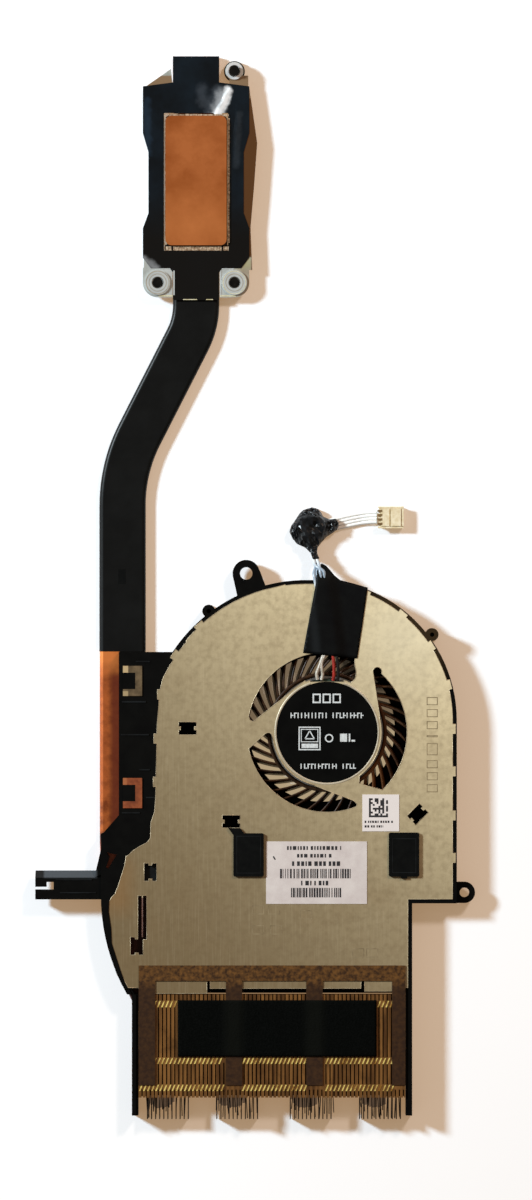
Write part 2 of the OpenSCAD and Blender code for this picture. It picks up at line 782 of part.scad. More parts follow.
module rotor_yoke() {
    color("silver") place() translate([0, 0, yoke_z]) difference() {
        cylinder(r = yoke_r, h = impeller_h - hub_floor_t - yoke_t / 2);
        translate([0, 0, yoke_floor_t]) cylinder(r = magnet_r, h = impeller_h);
        translate([0, 0, -over]) cylinder(r = shaft_r, h = yoke_floor_t + 2 * over);
    }
}

module magnet_ring() {
    z0 = yoke_z + 1.5 * yoke_floor_t;
    color([0.25, 0.25, 0.27]) place() translate([0, 0, z0]) difference() {
        cylinder(r = magnet_r, h = impeller_top - yoke_t - z0);
        translate([0, 0, -over]) cylinder(r = magnet_in_r, h = impeller_h);
    }
}

module rotor_shaft() {
    color("gainsboro") place() translate([0, 0, yoke_z])
        cylinder(r = shaft_r, h = shaft_top - yoke_z);
}

module thrust_washer() {
    color("white") place() translate([0, 0, shaft_top + washer_gap])
        cylinder(r = bearing_r - fit, h = washer_t);
}

module bearing_sleeve() {
    color([0.6, 0.45, 0.25]) place() translate([0, 0, holder_z]) difference() {
        cylinder(r = bearing_r, h = shaft_top - fit - holder_z);
        translate([0, 0, -over]) cylinder(r = shaft_r + shaft_gap, h = case_h);
    }
}

module bearing_holder() {
    color([0.75, 0.6, 0.3]) place() translate([0, 0, holder_z]) difference() {
        cylinder(r = holder_r, h = plate_z - holder_z);
        translate([0, 0, -over])
            cylinder(r = bearing_r, h = plate_z - holder_cap_t - holder_z + over);
    }
}

// Stator: stacked iron with arms that end in curved shoes.
module stator_arms(w, from_r, to_r) {
    for (i = [0:pole_n - 1])
        rotate(i * 360 / pole_n) translate([from_r, -w / 2]) square([to_r - from_r, w]);
}

module stator_core() {
    ring_r = 1.55 * holder_r;
    shoe_t = 0.75 * arm_iron_w;
    shoe_gap_a = 7;
    color([0.45, 0.45, 0.48]) place() translate([0, 0, iron_z]) linear_extrude(iron_t)
        difference() {
            union() {
                circle(ring_r);
                stator_arms(arm_iron_w, holder_r, stator_r - shoe_t / 2);
                difference() {
                    circle(stator_r);
                    circle(stator_r - shoe_t);
                    for (i = [0:pole_n - 1])
                        rotate((i + 0.5) * 360 / pole_n)
                            translate([0, -stator_r * sin(shoe_gap_a) / 2])
                                square([2 * stator_r, stator_r * sin(shoe_gap_a)]);
                }
            }
            circle(holder_r);
        }
}

module stator_coils() {
    inner_r = 1.85 * holder_r;
    outer_r = stator_r - 1.3 * arm_iron_w;
    rise = coil_z_share * iron_t;
    color([0.75, 0.4, 0.2]) place() translate([0, 0, iron_z - rise]) difference() {
        linear_extrude(iron_t + 2 * rise) stator_arms(coil_w, inner_r, outer_r);
        translate([0, 0, rise]) linear_extrude(iron_t) stator_arms(arm_iron_w, 0, stator_r);
    }
}

module motor_board() {
    color([0.1, 0.3, 0.15]) place() translate([0, 0, board_z]) difference() {
        cylinder(r = board_r, h = board_t);
        translate([0, 0, -over]) cylinder(r = holder_r, h = board_t + 2 * over);
    }
}

module hub_label() {
    color([0.05, 0.05, 0.06]) place() translate([0, 0, plate_top])
        cylinder(r = hub_label_r, h = label_t);
}

// Fin stack: folded copper sheets that lock into each other by their flanges.
module fin_stack() {
    low_z = pipe_z;
    long_top = fin_z + 0.5 * (fin_top - fin_z);
    color([0.62, 0.4, 0.2]) place() {
        translate([0, 0, fin_z]) linear_extrude(fin_top - fin_z)
            for (i = [0:fin_n - 1])
                translate([fin_x0 + i * fin_pitch, -fin_back]) square([fin_t, fin_l]);
        translate([0, 0, low_z]) linear_extrude(fin_z - low_z)
            for (i = [0:fin_n - 1])
                translate([fin_x0 + i * fin_pitch, -fin_back])
                    square([fin_t, fin_back - fin_seat_drop]);
        translate([0, 0, low_z]) linear_extrude(long_top - low_z)
            for (i = [0:fin_n - 1])
                if (in_group(i * fin_pitch))
                    translate([fin_x0 + i * fin_pitch, -fin_back - fin_extra])
                        square([fin_t, fin_extra + lock_w]);
        translate([fin_x0, -fin_seat_drop, fin_z])
            cube([(fin_n - 1) * fin_pitch + fin_t, fin_seat_drop - fin_drop, flange_t]);
        translate([fin_x0, -fin_back, low_z])
            cube([(fin_n - 1) * fin_pitch + fin_t, fin_back - fin_seat_drop, flange_t]);
        translate([0, 0, fin_top - flange_t]) linear_extrude(flange_t)
            for (i = [0:fin_n - 2])
                translate([fin_x0 + i * fin_pitch, -fin_back]) square([fold_share * fin_pitch, fin_l]);
        for (s = lock_row_shares)
            translate([fin_x0, -fin_drop - s * fin_l - lock_w, fin_top - flange_t])
                cube([(fin_n - 1) * fin_pitch + fin_t, lock_w, flange_t]);
    }
}

function in_group(x) =
    let (u = x + fin_x0 - group_x0) u >= 0 && u - group_pitch * floor(u / group_pitch) < group_w;

// Copper frame: a strip along the plate's edge with four fingers down the fins.
module fin_frame() {
    strip_w = 0.15 * fin_l;
    lap = 7.25 * rim_w;
    finger_shares = [[0, 0.062], [0.327, 0.388], [0.628, 0.69], [0.95, 1]];
    finger_l = fin_l - 0.12 * fin_l;
    color([0.45, 0.27, 0.14]) place() translate([0, 0, fin_top]) linear_extrude(frame_t) {
        translate([fin_x0, lap - fin_drop - strip_w]) square([fin_span, strip_w]);
        for (s = finger_shares)
            translate([fin_x0 + s[0] * fin_span, -fin_drop - finger_l])
                square([(s[1] - s[0]) * fin_span, finger_l + lap]);
    }
}

module fin_pad() {
    pad_w = 0.745 * fin_span;
    color([0.05, 0.05, 0.05]) place()
        translate([fin_x0 + 0.147 * fin_span, -fin_drop - 0.6 * fin_l, fin_top + frame_t])
            cube([pad_w, 0.545 * fin_l, pad_t]);
}

// Cold plate: contact block, sprung bracket, its film and the captive screws.
module contact_block() {
    solder_l = 1.2;
    color([0.75, 0.42, 0.24]) place() translate([-cold_x, block_rise, bracket_z]) {
        linear_extrude(block_flange_h) rounded_rect(block_w + block_flange, block_l + block_flange,
            block_round);
        linear_extrude(block_flange_h)
            translate([-block_w / 2 - block_flange / 2, -block_l / 2 - solder_l])
                square([block_w + block_flange, solder_l + block_round]);
        linear_extrude(block_h) rounded_rect(block_w, block_l, block_round);
    }
}

function bracket_side(s) = [
    [s * bracket_half_w, 0.728 * block_l], [s * bracket_half_w, 0.366 * block_l],
    [s * waist_half_w, 0.219 * block_l], [s * waist_half_w, -0.251 * block_l],
    [s * bracket_half_w, -0.368 * block_l], [s * bracket_half_w, -0.583 * block_l]
];

function collar_size(i) = i < 2 ? collar_r : small_collar_r;

module bracket_window() {
    margin = block_flange + 2 * slip;
    translate([-block_w / 2 - margin / 2, -block_l / 2 - 1.6 * bracket_t])
        square([block_w + margin, block_l + 1.6 * bracket_t + margin]);
}

// A lower ear, square towards the pipe (sx) and the block.
module ear(x, y, sx) {
    translate([x, y]) {
        circle(ear_r);
        translate([sx > 0 ? 0 : -ear_r, -ear_r]) square([ear_r, 2 * ear_r]);
        translate([-ear_r, 0]) square([2 * ear_r, ear_r]);
    }
}

// Sprung bracket: its right edge bulges out from under the film as a spring leaf.
module spring_bracket() {
    leaf_shares = [[1.15, 0.29], [1.09, -0.05], [1.025, -0.36], [1.055, -0.69], [0.9, -0.69], [0.9, -0.583]];
    edge = bracket_side(1);
    leaf = [for (s = leaf_shares) [s.x * bracket_half_w, s.y * block_l]];
    right = concat([edge[0]], leaf);
    left = bracket_side(-1);
    arm_in = 0.87 * screw_half_w;
    arm_out = 1.36 * screw_half_w;
    tongue = [[-1.27, 0.8], [-0.6, 0.8], [-0.65, 1.02], [-1.27, 0.87]];
    color([0.78, 0.8, 0.78]) place() translate([-cold_x, block_rise, bracket_z]) difference() {
        union() {
            linear_extrude(bracket_t)
                polygon(concat([for (i = [len(right) - 1:-1:0]) right[i]], left));
            linear_extrude(bracket_t) ear(-screw_half_w, -screw_drop, 1);
            linear_extrude(bracket_t) ear(screw_half_w, -screw_drop, -1);
            translate([screw_half_w, screw_rise, 0]) cylinder(r = small_ear_r, h = bracket_t);
            for (s = [-1, 1])
                translate([s > 0 ? arm_in : -arm_out, -screw_drop, 0])
                    cube([arm_out - arm_in, screw_drop - 0.43 * block_l, bracket_t]);
            translate([arm_in, 0.68 * block_l, 0])
                cube([arm_out - arm_in, screw_rise - small_ear_r / 2 - 0.68 * block_l, bracket_t]);
            linear_extrude(bracket_t)
                polygon([for (p = tongue) [p.x * screw_half_w, p.y * screw_rise]]);
        }
        translate([0, 0, -over]) linear_extrude(bracket_t + 2 * over) bracket_window();
        for (i = [0:2])
            translate([screw_spots[i].x + cold_x, screw_spots[i].y - block_rise, -over])
                cylinder(r = collar_size(i) - slip * 2, h = bracket_t + 2 * over);
    }
}

// Film: one black sheet over the bracket and both necks of the pipe.
module bracket_film() {
    neck = pipe_w / 2 + film_t;
    right = bracket_side(1);
    side = [
        [neck, pipe_rise], [neck, 0.758 * block_l], right[0], right[1], right[2],
        right[3], right[4], [right[5].x, -0.596 * block_l],
        [0.85 * right[5].x, -0.677 * block_l], [0.49 * right[5].x, -0.677 * block_l],
        [neck, -0.707 * block_l], [neck, -film_neck_l]
    ];
    mirrored = [for (i = [len(side) - 1:-1:0]) [-side[i].x, side[i].y]];
    color([0.07, 0.08, 0.09]) place() translate([-cold_x, block_rise, bracket_top])
        linear_extrude(film_t) difference() {
            polygon(concat(side, mirrored));
            bracket_window();
        }
}

module screw_collars() {
    color([0.82, 0.83, 0.82]) place()
        for (i = [0:2]) translate([screw_spots[i].x, screw_spots[i].y, collar_z]) difference() {
            union() {
                cylinder(r = collar_size(i) - slip * 2, h = bracket_t + collar_h);
                translate([0, 0, bracket_t]) cylinder(r = collar_size(i), h = collar_h);
            }
            translate([0, 0, collar_lip_t]) cylinder(r = collar_bore_r, h = case_h);
            translate([0, 0, -over]) cylinder(r = collar_lip_r, h = case_h);
        }
}

// Captive screw: its thread sits loose in the collar and its head hangs below.
module captive_screw(i) {
    p = screw_spots[i];
    head_z = bracket_z - screw_travel - fit - head_t;
    thread_z = collar_z + collar_lip_t + fit;
    tip_z = collar_top + (i < 2 ? -fit : long_tip);
    color([0.12, 0.12, 0.13]) place() translate([p.x, p.y, 0]) difference() {
        union() {
            translate([0, 0, head_z]) cylinder(r = head_r, h = head_t);
            translate([0, 0, head_z]) cylinder(r = neck_r, h = thread_z - head_z + fit);
            translate([0, 0, thread_z]) cylinder(r = thread_r, h = tip_z - thread_z);
        }
        for (a = [0, 90]) rotate(a)
            translate([-0.7 * head_r, -0.12 * head_r, head_z - over])
                cube([1.4 * head_r, 0.24 * head_r, 0.5 * head_t + over]);
    }
}

module captive_screw_1() {
    captive_screw(0);
}

module captive_screw_2() {
    captive_screw(1);
}

module captive_screw_3() {
    captive_screw(2);
}

// Pads and labels that lie on the motor plate.
module rubber_pad(c_share, size_shares, neck_shares) {
    w = size_shares.x * case_r;
    l = size_shares.y * case_r;
    color([0.06, 0.06, 0.06]) place()
        translate([c_share.x * case_r, c_share.y * case_r, plate_top])
            linear_extrude(rubber_t) {
                rounded_rect(w, l, 0.06 * w);
                polygon(scaled(neck_shares, w));
            }
}

module rubber_pad_left() {
    neck_shares = [[-0.678, 0.891], [-0.497, 0.645], [-0.118, 0.678], [-0.283, 0.875]];
    rubber_pad([-0.49, -0.766], [0.19, 0.27], neck_shares);
}

module rubber_pad_right() {
    nub_shares = [[-0.1, -0.784], [0.1, -0.784], [0.1, -0.65], [-0.1, -0.65]];
    rubber_pad([0.48, -0.764], [0.19, 0.275], nub_shares);
}

module small_label() {
    color([0.9, 0.88, 0.85]) place()
        translate([0.335 * case_r - small_label_w / 2, -0.504 * case_r - small_label_w / 2, plate_top])
            cube([small_label_w, small_label_w, label_t]);
}

module part_label() {
    color([0.9, 0.86, 0.83]) place()
        translate([-0.066 * case_r - label_w / 2, -0.877 * case_r - label_l / 2, plate_top])
            cube([label_w, label_l, label_t]);
}

// Cable: a flat bundle of wires under a strip of tape, then a wrapped fold and a plug.
module cable_tape() {
    sheet_shares = [
        [-0.065, 0.96], [-0.05, 1.054], [-0.025, 1.054], [0.0175, 1.019], [0.054, 0.969],
        [0.081, 0.944], [0.255, 0.895], [0.18, 0.455], [-0.1475, 0.501]
    ];
    hump_shares = [[-0.08, 0.4], [-0.12, 1.06], [0.03, 1.06], [0.08, 0.4]];
    hump_z = plate_top + cable_t;
    channel_w = cable_w + 4 * slip;
    color([0.06, 0.06, 0.06]) place() difference() {
        union() {
            translate([0, 0, plate_top]) linear_extrude(tape_t)
                polygon(scaled(sheet_shares, case_r));
            translate([0, 0, plate_top]) linear_extrude(cable_t + tape_t)
                intersection() {
                    polygon(scaled(sheet_shares, case_r));
                    polygon(scaled(hump_shares, case_r));
                }
        }
        translate([0, 0, plate_top - over]) linear_extrude(hump_z - plate_top + over)
            polygon(concat(
                [for (i = [2:9]) [cable_route[i].x + channel_w / 2, cable_route[i].y]],
                [for (i = [9:-1:2]) [cable_route[i].x - channel_w / 2, cable_route[i].y]]
            ));
    }
}

// The tube's rings stand across the route, with the flat side level.
function route_dir(i) =
    let (a = cable_route[max(i - 1, 0)], b = cable_route[min(i + 1, len(cable_route) - 1)])
    (b - a) / norm(b - a);
function ring_at(i) =
    let (
        d = route_dir(i),
        side = cross(d, [0, 0, 1]) / norm(cross(d, [0, 0, 1])),
        up = cross(side, d)
    )
    [for (k = [0:7]) cable_route[i] + side * cos(45 * k) * cable_w / 2 + up * sin(45 * k) * cable_t / 2];

module cable() {
    n = len(cable_route);
    points = [for (i = [0:n - 1]) each ring_at(i)];
    sides = [for (i = [0:n - 2], k = [0:7])
        [8 * i + k, 8 * i + (k + 1) % 8, 8 * i + 8 + (k + 1) % 8, 8 * i + 8 + k]];
    color([0.7, 0.7, 0.7]) place()
        polyhedron(points, concat(
            [[for (k = [7:-1:0]) k]], sides, [[for (k = [0:7]) 8 * (n - 1) + k]]
        ));
}

module cable_wrap() {
    outline_shares = [
        [-0.1, 1.08], [-0.1375, 1.15], [-0.225, 1.22], [-0.231, 1.256], [-0.15, 1.375],
        [-0.1, 1.4], [-0.063, 1.4], [0.012, 1.331], [0.05, 1.331], [0.07, 1.3], [0.06, 1.26],
        [-0.044, 1.1875], [-0.069, 1.14], [-0.056, 1.08]
    ];
    color([0.07, 0.07, 0.08]) place() linear_extrude(wrap_h)
        polygon(scaled(outline_shares, case_r));
}

function contact_y(k) = (k - (contact_n - 1) / 2) * plug_w / (contact_n + 0.3);

module connector_housing() {
    slot_w = 0.62 * plug_w / (contact_n + 0.3);
    slot_h = 0.45 * plug_h;
    groove = 0.04 * plug_l;
    color([0.93, 0.87, 0.7]) place() translate([plug_c.x, plug_c.y, 0]) difference() {
        translate([-plug_l / 2, -plug_w / 2, 0]) cube([plug_l, plug_w, plug_h]);
        for (k = [0:contact_n - 1])
            translate([-plug_l / 2 - over, contact_y(k) - slot_w / 2, plug_h / 2 - slot_h / 2])
                cube([plug_l + 2 * over, slot_w, slot_h]);
        translate([-groove / 2, -plug_w / 2 - over, plug_h - groove])
            cube([groove, plug_w + 2 * over, groove + over]);
    }
}

module connector_contacts() {
    pin_w = 0.4 * plug_w / (contact_n + 0.3);
    slot_h = 0.45 * plug_h;
    color([0.45, 0.36, 0.25]) place() translate([plug_c.x, plug_c.y, 0])
        for (k = [0:contact_n - 1])
            translate([-0.45 * plug_l, contact_y(k) - pin_w / 2, plug_h / 2 - slot_h / 2])
                cube([0.9 * plug_l, pin_w, 0.6 * slot_h]);
}

fan_housing();
motor_plate();
impeller();
rotor_yoke();
magnet_ring();
rotor_shaft();
thrust_washer();
bearing_sleeve();
bearing_holder();
stator_core();
stator_coils();
motor_board();
hub_label();
heat_pipe();
pipe_film();
fin_stack();
fin_frame();
fin_pad();
pipe_clip_upper();
pipe_clip_lower();
contact_block();
spring_bracket();
bracket_film();
screw_collars();
captive_screw_1();
captive_screw_2();
captive_screw_3();
rubber_pad_left();
rubber_pad_right();
small_label();
part_label();
cable_tape();
cable();
cable_wrap();
connector_housing();
connector_contacts();
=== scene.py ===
# %% [markdown]
# A laptop's cooling module lies on a white table: a flat fan, a copper heat pipe and a fin stack.
# The solids come from the CAD model with their real sizes. This script gives them their finishes,
# and adds what is too soft or too fine for solids: wires, crumpled tape, label marks, solder and
# the little locking tabs of the fins.

# %% Load the frame
import math
import random

import bmesh
import bpy
from mathutils import Matrix, Vector, noise


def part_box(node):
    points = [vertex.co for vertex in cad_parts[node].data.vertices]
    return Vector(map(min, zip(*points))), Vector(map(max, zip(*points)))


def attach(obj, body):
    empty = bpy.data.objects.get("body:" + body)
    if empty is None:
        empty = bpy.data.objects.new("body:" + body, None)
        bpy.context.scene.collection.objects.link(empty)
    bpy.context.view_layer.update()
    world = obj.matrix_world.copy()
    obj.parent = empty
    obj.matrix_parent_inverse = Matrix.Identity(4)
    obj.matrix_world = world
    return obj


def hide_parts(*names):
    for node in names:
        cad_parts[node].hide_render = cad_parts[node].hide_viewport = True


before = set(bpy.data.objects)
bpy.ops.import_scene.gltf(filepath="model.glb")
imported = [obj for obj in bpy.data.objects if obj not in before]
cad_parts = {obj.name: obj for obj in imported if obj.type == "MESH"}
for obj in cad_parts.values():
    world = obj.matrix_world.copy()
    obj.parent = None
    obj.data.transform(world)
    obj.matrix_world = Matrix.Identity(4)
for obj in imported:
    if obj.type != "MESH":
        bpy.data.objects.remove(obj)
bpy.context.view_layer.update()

MM = 0.001
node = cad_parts

# %% [markdown]
# The picture was taken from straight above, so one pixel is a quarter of a millimetre everywhere.
# A small helper turns a place in the picture into a place on the object. The fan's axis is the
# landmark: it is pixel 327, 732, and the CAD model has it at a known point.

# %% From a place in the picture to a place on the object
PIXEL = 0.25
FAN_PIXEL = (327.0, 732.0)
PICTURE = (532, 1200)
MIDDLE = (PICTURE[0] / 2, PICTURE[1] / 2)
hub_low, hub_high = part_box("hub_label")
FAN_AXIS = Vector(((hub_low.x + hub_high.x) / 2, (hub_low.y + hub_high.y) / 2, 0)) / MM


def on_fan(x, y, z):
    """A point in mm from the fan's axis, as a point of the frame in metres."""
    return (Vector((x, y, z)) + FAN_AXIS) * MM


def at(px, py, z):
    """A pixel of the picture at height z in mm, as a point of the frame in metres."""
    return on_fan((px - FAN_PIXEL[0]) * PIXEL, (FAN_PIXEL[1] - py) * PIXEL, z)


def pixel_of(point):
    """The pixel of the picture that shows a point of the frame."""
    across, up = point.x / MM - FAN_AXIS.x, point.y / MM - FAN_AXIS.y
    return FAN_PIXEL[0] + across / PIXEL, FAN_PIXEL[1] - up / PIXEL


print("the fan's axis is at", [round(v, 2) for v in FAN_AXIS], "mm,",
      "the middle of the picture at", [round(v / MM, 2) for v in at(*MIDDLE, 0)], "mm")

# %% [markdown]
# A long lens far above the table keeps the view almost free of perspective. The picture is 300 mm
# high on the table, so the distance follows from the lens and the sensor.

# %% Camera
def in_scene(name, data):
    """A new object in the scene, made from its data."""
    made = bpy.data.objects.new(name, data)
    bpy.context.scene.collection.objects.link(made)
    return made


HALF_HEIGHT = 4 * MM
camera_data = bpy.data.cameras.new("camera")
camera_data.lens = 250
camera_data.sensor_width = 36
camera_data.clip_end = 20
camera = in_scene("camera", camera_data)
distance = PICTURE[1] * PIXEL * MM * camera_data.lens / camera_data.sensor_width
camera.location = at(*MIDDLE, 0) + Vector((0, 0, distance + HALF_HEIGHT))
bpy.context.scene.camera = camera
print("camera", round(distance, 3), "m above the table")

# %% [markdown]
# Finishes are made from nodes. Three small groups are shared by many of them: blotches for stains
# and dust, streaks for rolled metal, and grain for the fine bumps of plastic, tape and cast parts.
# Each group reads the object's own coordinates in metres, so the marks stay on the metal when the
# camera moves.

# %% Helpers for materials
def srgb(r, g, b):
    """A colour as seen on screen, 0 to 255, in the linear values that shaders use."""
    linear = [(c / 255 / 12.92 if c <= 10 else ((c / 255 + 0.055) / 1.055) ** 2.4) for c in (r, g, b)]
    return (*linear, 1.0)


def add(tree, kind, inputs=None, **values):
    """A node with its settings. Each input gets a link if a socket is given, or else a fixed value."""
    made = tree.nodes.new(kind)
    for name, value in values.items():
        if name in made.inputs:
            made.inputs[name].default_value = value
        else:
            setattr(made, name, value)
    for name, value in (inputs or {}).items():
        if isinstance(value, bpy.types.NodeSocket):
            tree.links.new(value, made.inputs[name])
        else:
            made.inputs[name].default_value = value
    return made


def own_place(tree):
    """The object's own coordinates in metres."""
    return add(tree, "ShaderNodeTexCoord").outputs["Object"]


def ramp(tree, value, start, end, low=0.0, high=1.0):
    """Runs from low to high while a value runs from start to end, and holds outside them."""
    return add(tree, "ShaderNodeMapRange", {"Value": value, "From Min": start, "From Max": end,
                                            "To Min": low, "To Max": high}).outputs["Result"]


def combine(tree, operation, first, second):
    """One sum on two values, each a number or a socket."""
    return add(tree, "ShaderNodeMath", {0: first, 1: second}, operation=operation).outputs["Value"]


def vectors(tree, operation, first, second, output="Vector"):
    """One sum on two vectors, each fixed or a socket."""
    return add(tree, "ShaderNodeVectorMath", {0: first, 1: second}, operation=operation).outputs[output]


def shared(name, inputs, outputs):
    """An empty node group with named inputs and outputs, each (name, kind, default)."""
    group = bpy.data.node_groups.new(name, "ShaderNodeTree")
    for label, kind, value in inputs:
        socket = group.interface.new_socket(label, in_out="INPUT", socket_type=kind)
        socket.default_value = value
    for label, kind in outputs:
        group.interface.new_socket(label, in_out="OUTPUT", socket_type=kind)
    return group, group.nodes.new("NodeGroupInput"), group.nodes.new("NodeGroupOutput")


NUMBER, COLOUR, VECTOR = "NodeSocketFloat", "NodeSocketColor", "NodeSocketVector"

# %% Shared blotches
blotches, given, result = shared(
    "Blotches", [("Scale", NUMBER, 200.0), ("Low", NUMBER, 0.35), ("High", NUMBER, 0.65)],
    [("Mask", NUMBER)])
clouds = add(blotches, "ShaderNodeTexNoise",
             {"Vector": own_place(blotches), "Scale": given.outputs["Scale"]}, Detail=6.0, Roughness=0.6)
spread = ramp(blotches, clouds.outputs["Fac"], given.outputs["Low"], given.outputs["High"])
blotches.links.new(spread, result.inputs["Mask"])

# %% Shared streaks
streaks, given, result = shared(
    "Streaks", [("Scale", NUMBER, 400.0), ("Stretch", VECTOR, (1.0, 0.05, 1.0))], [("Mask", NUMBER)])
stretched = vectors(streaks, "MULTIPLY", own_place(streaks), given.outputs["Stretch"])
lines = add(streaks, "ShaderNodeTexNoise", {"Vector": stretched, "Scale": given.outputs["Scale"]},
            Detail=4.0, Roughness=0.55)
streaks.links.new(lines.outputs["Fac"], result.inputs["Mask"])

# %% Shared grain
grain, given, result = shared(
    "Grain", [("Scale", NUMBER, 3000.0), ("Strength", NUMBER, 0.3), ("Depth", NUMBER, 0.00005)],
    [("Normal", VECTOR)])
fine = add(grain, "ShaderNodeTexNoise", {"Vector": own_place(grain), "Scale": given.outputs["Scale"]},
           Detail=3.0)
bumps = add(grain, "ShaderNodeBump", {"Height": fine.outputs["Fac"], "Strength": given.outputs["Strength"],
                                      "Distance": given.outputs["Depth"]})
grain.links.new(bumps.outputs["Normal"], result.inputs["Normal"])


def use(tree, group, **values):
    """One use of a shared group inside a material: the group's only output."""
    made = tree.nodes.new("ShaderNodeGroup")
    made.node_tree = group
    for name, value in values.items():
        made.inputs[name].default_value = value
    return made.outputs[0]


def blend_colours(tree, mask, first, second):
    """One colour where the mask is 0 and another where it is 1; each may be a colour or a socket."""
    mix = add(tree, "ShaderNodeMix", data_type="RGBA")
    tree.links.new(mask, mix.inputs[0])
    for slot_at, colour in ((6, first), (7, second)):
        if isinstance(colour, tuple):
            mix.inputs[slot_at].default_value = colour
        else:
            tree.links.new(colour, mix.inputs[slot_at])
    return mix.outputs[2]


def finish(name, metallic=0.0, roughness=0.5, **sockets):
    """A new material and its shader, with the constant values on the shader itself."""
    material = bpy.data.materials.new(name)
    material.use_nodes = True
    shader = material.node_tree.nodes["Principled BSDF"]
    shader.inputs["Metallic"].default_value = metallic
    shader.inputs["Roughness"].default_value = roughness
    for label, value in sockets.items():
        shader.inputs[label.replace("_", " ")].default_value = value
    return material, material.node_tree, shader


def blotched(name, dark, light, scale=300.0, low=0.35, high=0.65, grain_scale=3000.0, grain_strength=0.2,
             depth=0.00005, metallic=0.0, roughness=0.5, **sockets):
    """A finish whose colour wanders between two tones, with fine bumps."""
    material, tree, shader = finish(name, metallic, roughness, **sockets)
    mask = use(tree, blotches, Scale=scale, Low=low, High=high)
    tree.links.new(blend_colours(tree, mask, srgb(*dark), srgb(*light)), shader.inputs["Base Color"])
    bump = use(tree, grain, Scale=grain_scale, Strength=grain_strength, Depth=depth)
    tree.links.new(bump, shader.inputs["Normal"])
    return material


print("shared groups:", [g.name for g in bpy.data.node_groups])

# %% [markdown]
# The stamped steel plate over the fan is the largest surface. Its plating has a champagne tone, with
# fingermarks and stains. Painted light makes it lighter at the upper right and browner at the lower
# left: a ramp along the diagonal gives that slow change, and two sizes of blotches and fine streaks
# break it up.

# %% Champagne plated steel
plate_steel, tree, shader = finish("Champagne plated steel", metallic=0.3, roughness=0.42)
split = add(tree, "ShaderNodeSeparateXYZ", {"Vector": own_place(tree)})
diagonal = combine(tree, "ADD", split.outputs["X"], split.outputs["Y"])
# painted light: lighter towards the upper right, darker and browner towards the lower left
curved = combine(tree, "POWER", ramp(tree, diagonal, -0.125, 0.035), 1.9)
base = blend_colours(tree, curved, srgb(128, 109, 78), srgb(252, 234, 190))
stain = combine(tree, "MULTIPLY", use(tree, blotches, Scale=70.0, Low=0.5, High=0.85), 0.35)
stained = blend_colours(tree, stain, base, srgb(134, 108, 74))
brushed = ramp(tree, use(tree, streaks, Scale=2600.0, Stretch=(1.0, 0.03, 1.0)), 0.5, 0.75, high=0.1)
lined = blend_colours(tree, brushed, stained, srgb(232, 216, 184))
speck = combine(tree, "MULTIPLY", use(tree, blotches, Scale=650.0, Low=0.42, High=0.8), 0.42)
tree.links.new(blend_colours(tree, speck, lined, srgb(112, 92, 62)), shader.inputs["Base Color"])
sheen = ramp(tree, use(tree, streaks, Scale=900.0, Stretch=(1.0, 0.08, 1.0)), 0, 1, 0.36, 0.52)
tree.links.new(sheen, shader.inputs["Roughness"])
tree.links.new(use(tree, grain, Scale=700.0, Strength=0.25, Depth=0.00006), shader.inputs["Normal"])
# %% [markdown]
# Some parts change their tone from place to place, much of it painted light: the pipe is painted
# bright where light falls on its bare copper and painted dark in the shade where it runs under the
# plate, the fins are nearly black at their long ends, and the bracket is painted tan at the top, the
# warm light its steel reflects, and silver at its ears. One more helper tints a finish inside a block
# of space, with soft limits. The block is given in pixels of the picture across the part and in mm upwards.

# %% A second tone inside a block of space
def paint_over(material, mask, colour):
    """Blends a colour into what a finish shows already, where the mask is 1."""
    tree = material.node_tree
    surface = tree.nodes["Principled BSDF"].inputs["Base Color"]
    before = surface.links[0].from_socket
    tree.links.new(blend_colours(tree, mask, before, srgb(*colour)), surface)


def tint(material, colour, x=None, y=None, z=None, soft=0.3, strength=1.0):
    """Blends another colour into a finish between two pixels across, two down and two heights."""
    tree = material.node_tree
    limits = []
    if x:
        limits += [("X", at(x[0], 0, 0).x, 1), ("X", at(x[1], 0, 0).x, -1)]
    if y:
        limits += [("Y", at(0, y[1], 0).y, 1), ("Y", at(0, y[0], 0).y, -1)]
    if z:
        limits += [("Z", z[0] * MM, 1), ("Z", z[1] * MM, -1)]
    split = add(tree, "ShaderNodeSeparateXYZ", {"Vector": own_place(tree)})
    mask = None
    for axis, edge, side in limits:
        half = side * soft / 2 * MM
        step = ramp(tree, split.outputs[axis], edge - half, edge + half,
                    high=strength if mask is None else 1.0)
        mask = step if mask is None else combine(tree, "MULTIPLY", mask, step)
    paint_over(material, mask, colour)


# %% [markdown]
# Glossy film shows white and grey reflections along its folds. A second helper paints these painted
# highlights: it measures how far a place is from the line between two pixels, frays that distance with
# noise and fades the colour out sideways.

# %% A soft streak between two places
def paint_highlight_streak(material, colour, start, end, width, strength=1.0):
    """Blends a colour into a finish along a line between two pixels, with a width in pixels."""
    tree = material.node_tree
    a, b = at(*start, 0), at(*end, 0)
    wide = width * PIXEL * MM
    place = own_place(tree)
    flat = vectors(tree, "MULTIPLY", place, (1, 1, 0))
    rough = add(tree, "ShaderNodeTexNoise", {"Vector": place}, Scale=700.0)
    frayed = add(tree, "ShaderNodeVectorMath", {0: rough.outputs["Color"], "Scale": wide * 0.5},
                 operation="SCALE")
    offset = vectors(tree, "SUBTRACT", vectors(tree, "ADD", flat, frayed.outputs["Vector"]), (a.x, a.y, 0))
    along = vectors(tree, "DOT_PRODUCT", offset, (b - a) / (b - a).length_squared, output="Value")
    kept = add(tree, "ShaderNodeClamp", {"Value": along}).outputs["Result"]
    nearest = add(tree, "ShaderNodeVectorMath", {0: b - a, "Scale": kept}, operation="SCALE")
    gap = vectors(tree, "DISTANCE", offset, nearest.outputs["Vector"], output="Value")
    mask = add(tree, "ShaderNodeMapRange",
               {"Value": gap, "From Min": wide * 0.75, "From Max": wide * 0.15, "To Max": strength},
               interpolation_type="SMOOTHSTEP")
    paint_over(material, mask.outputs["Result"], colour)
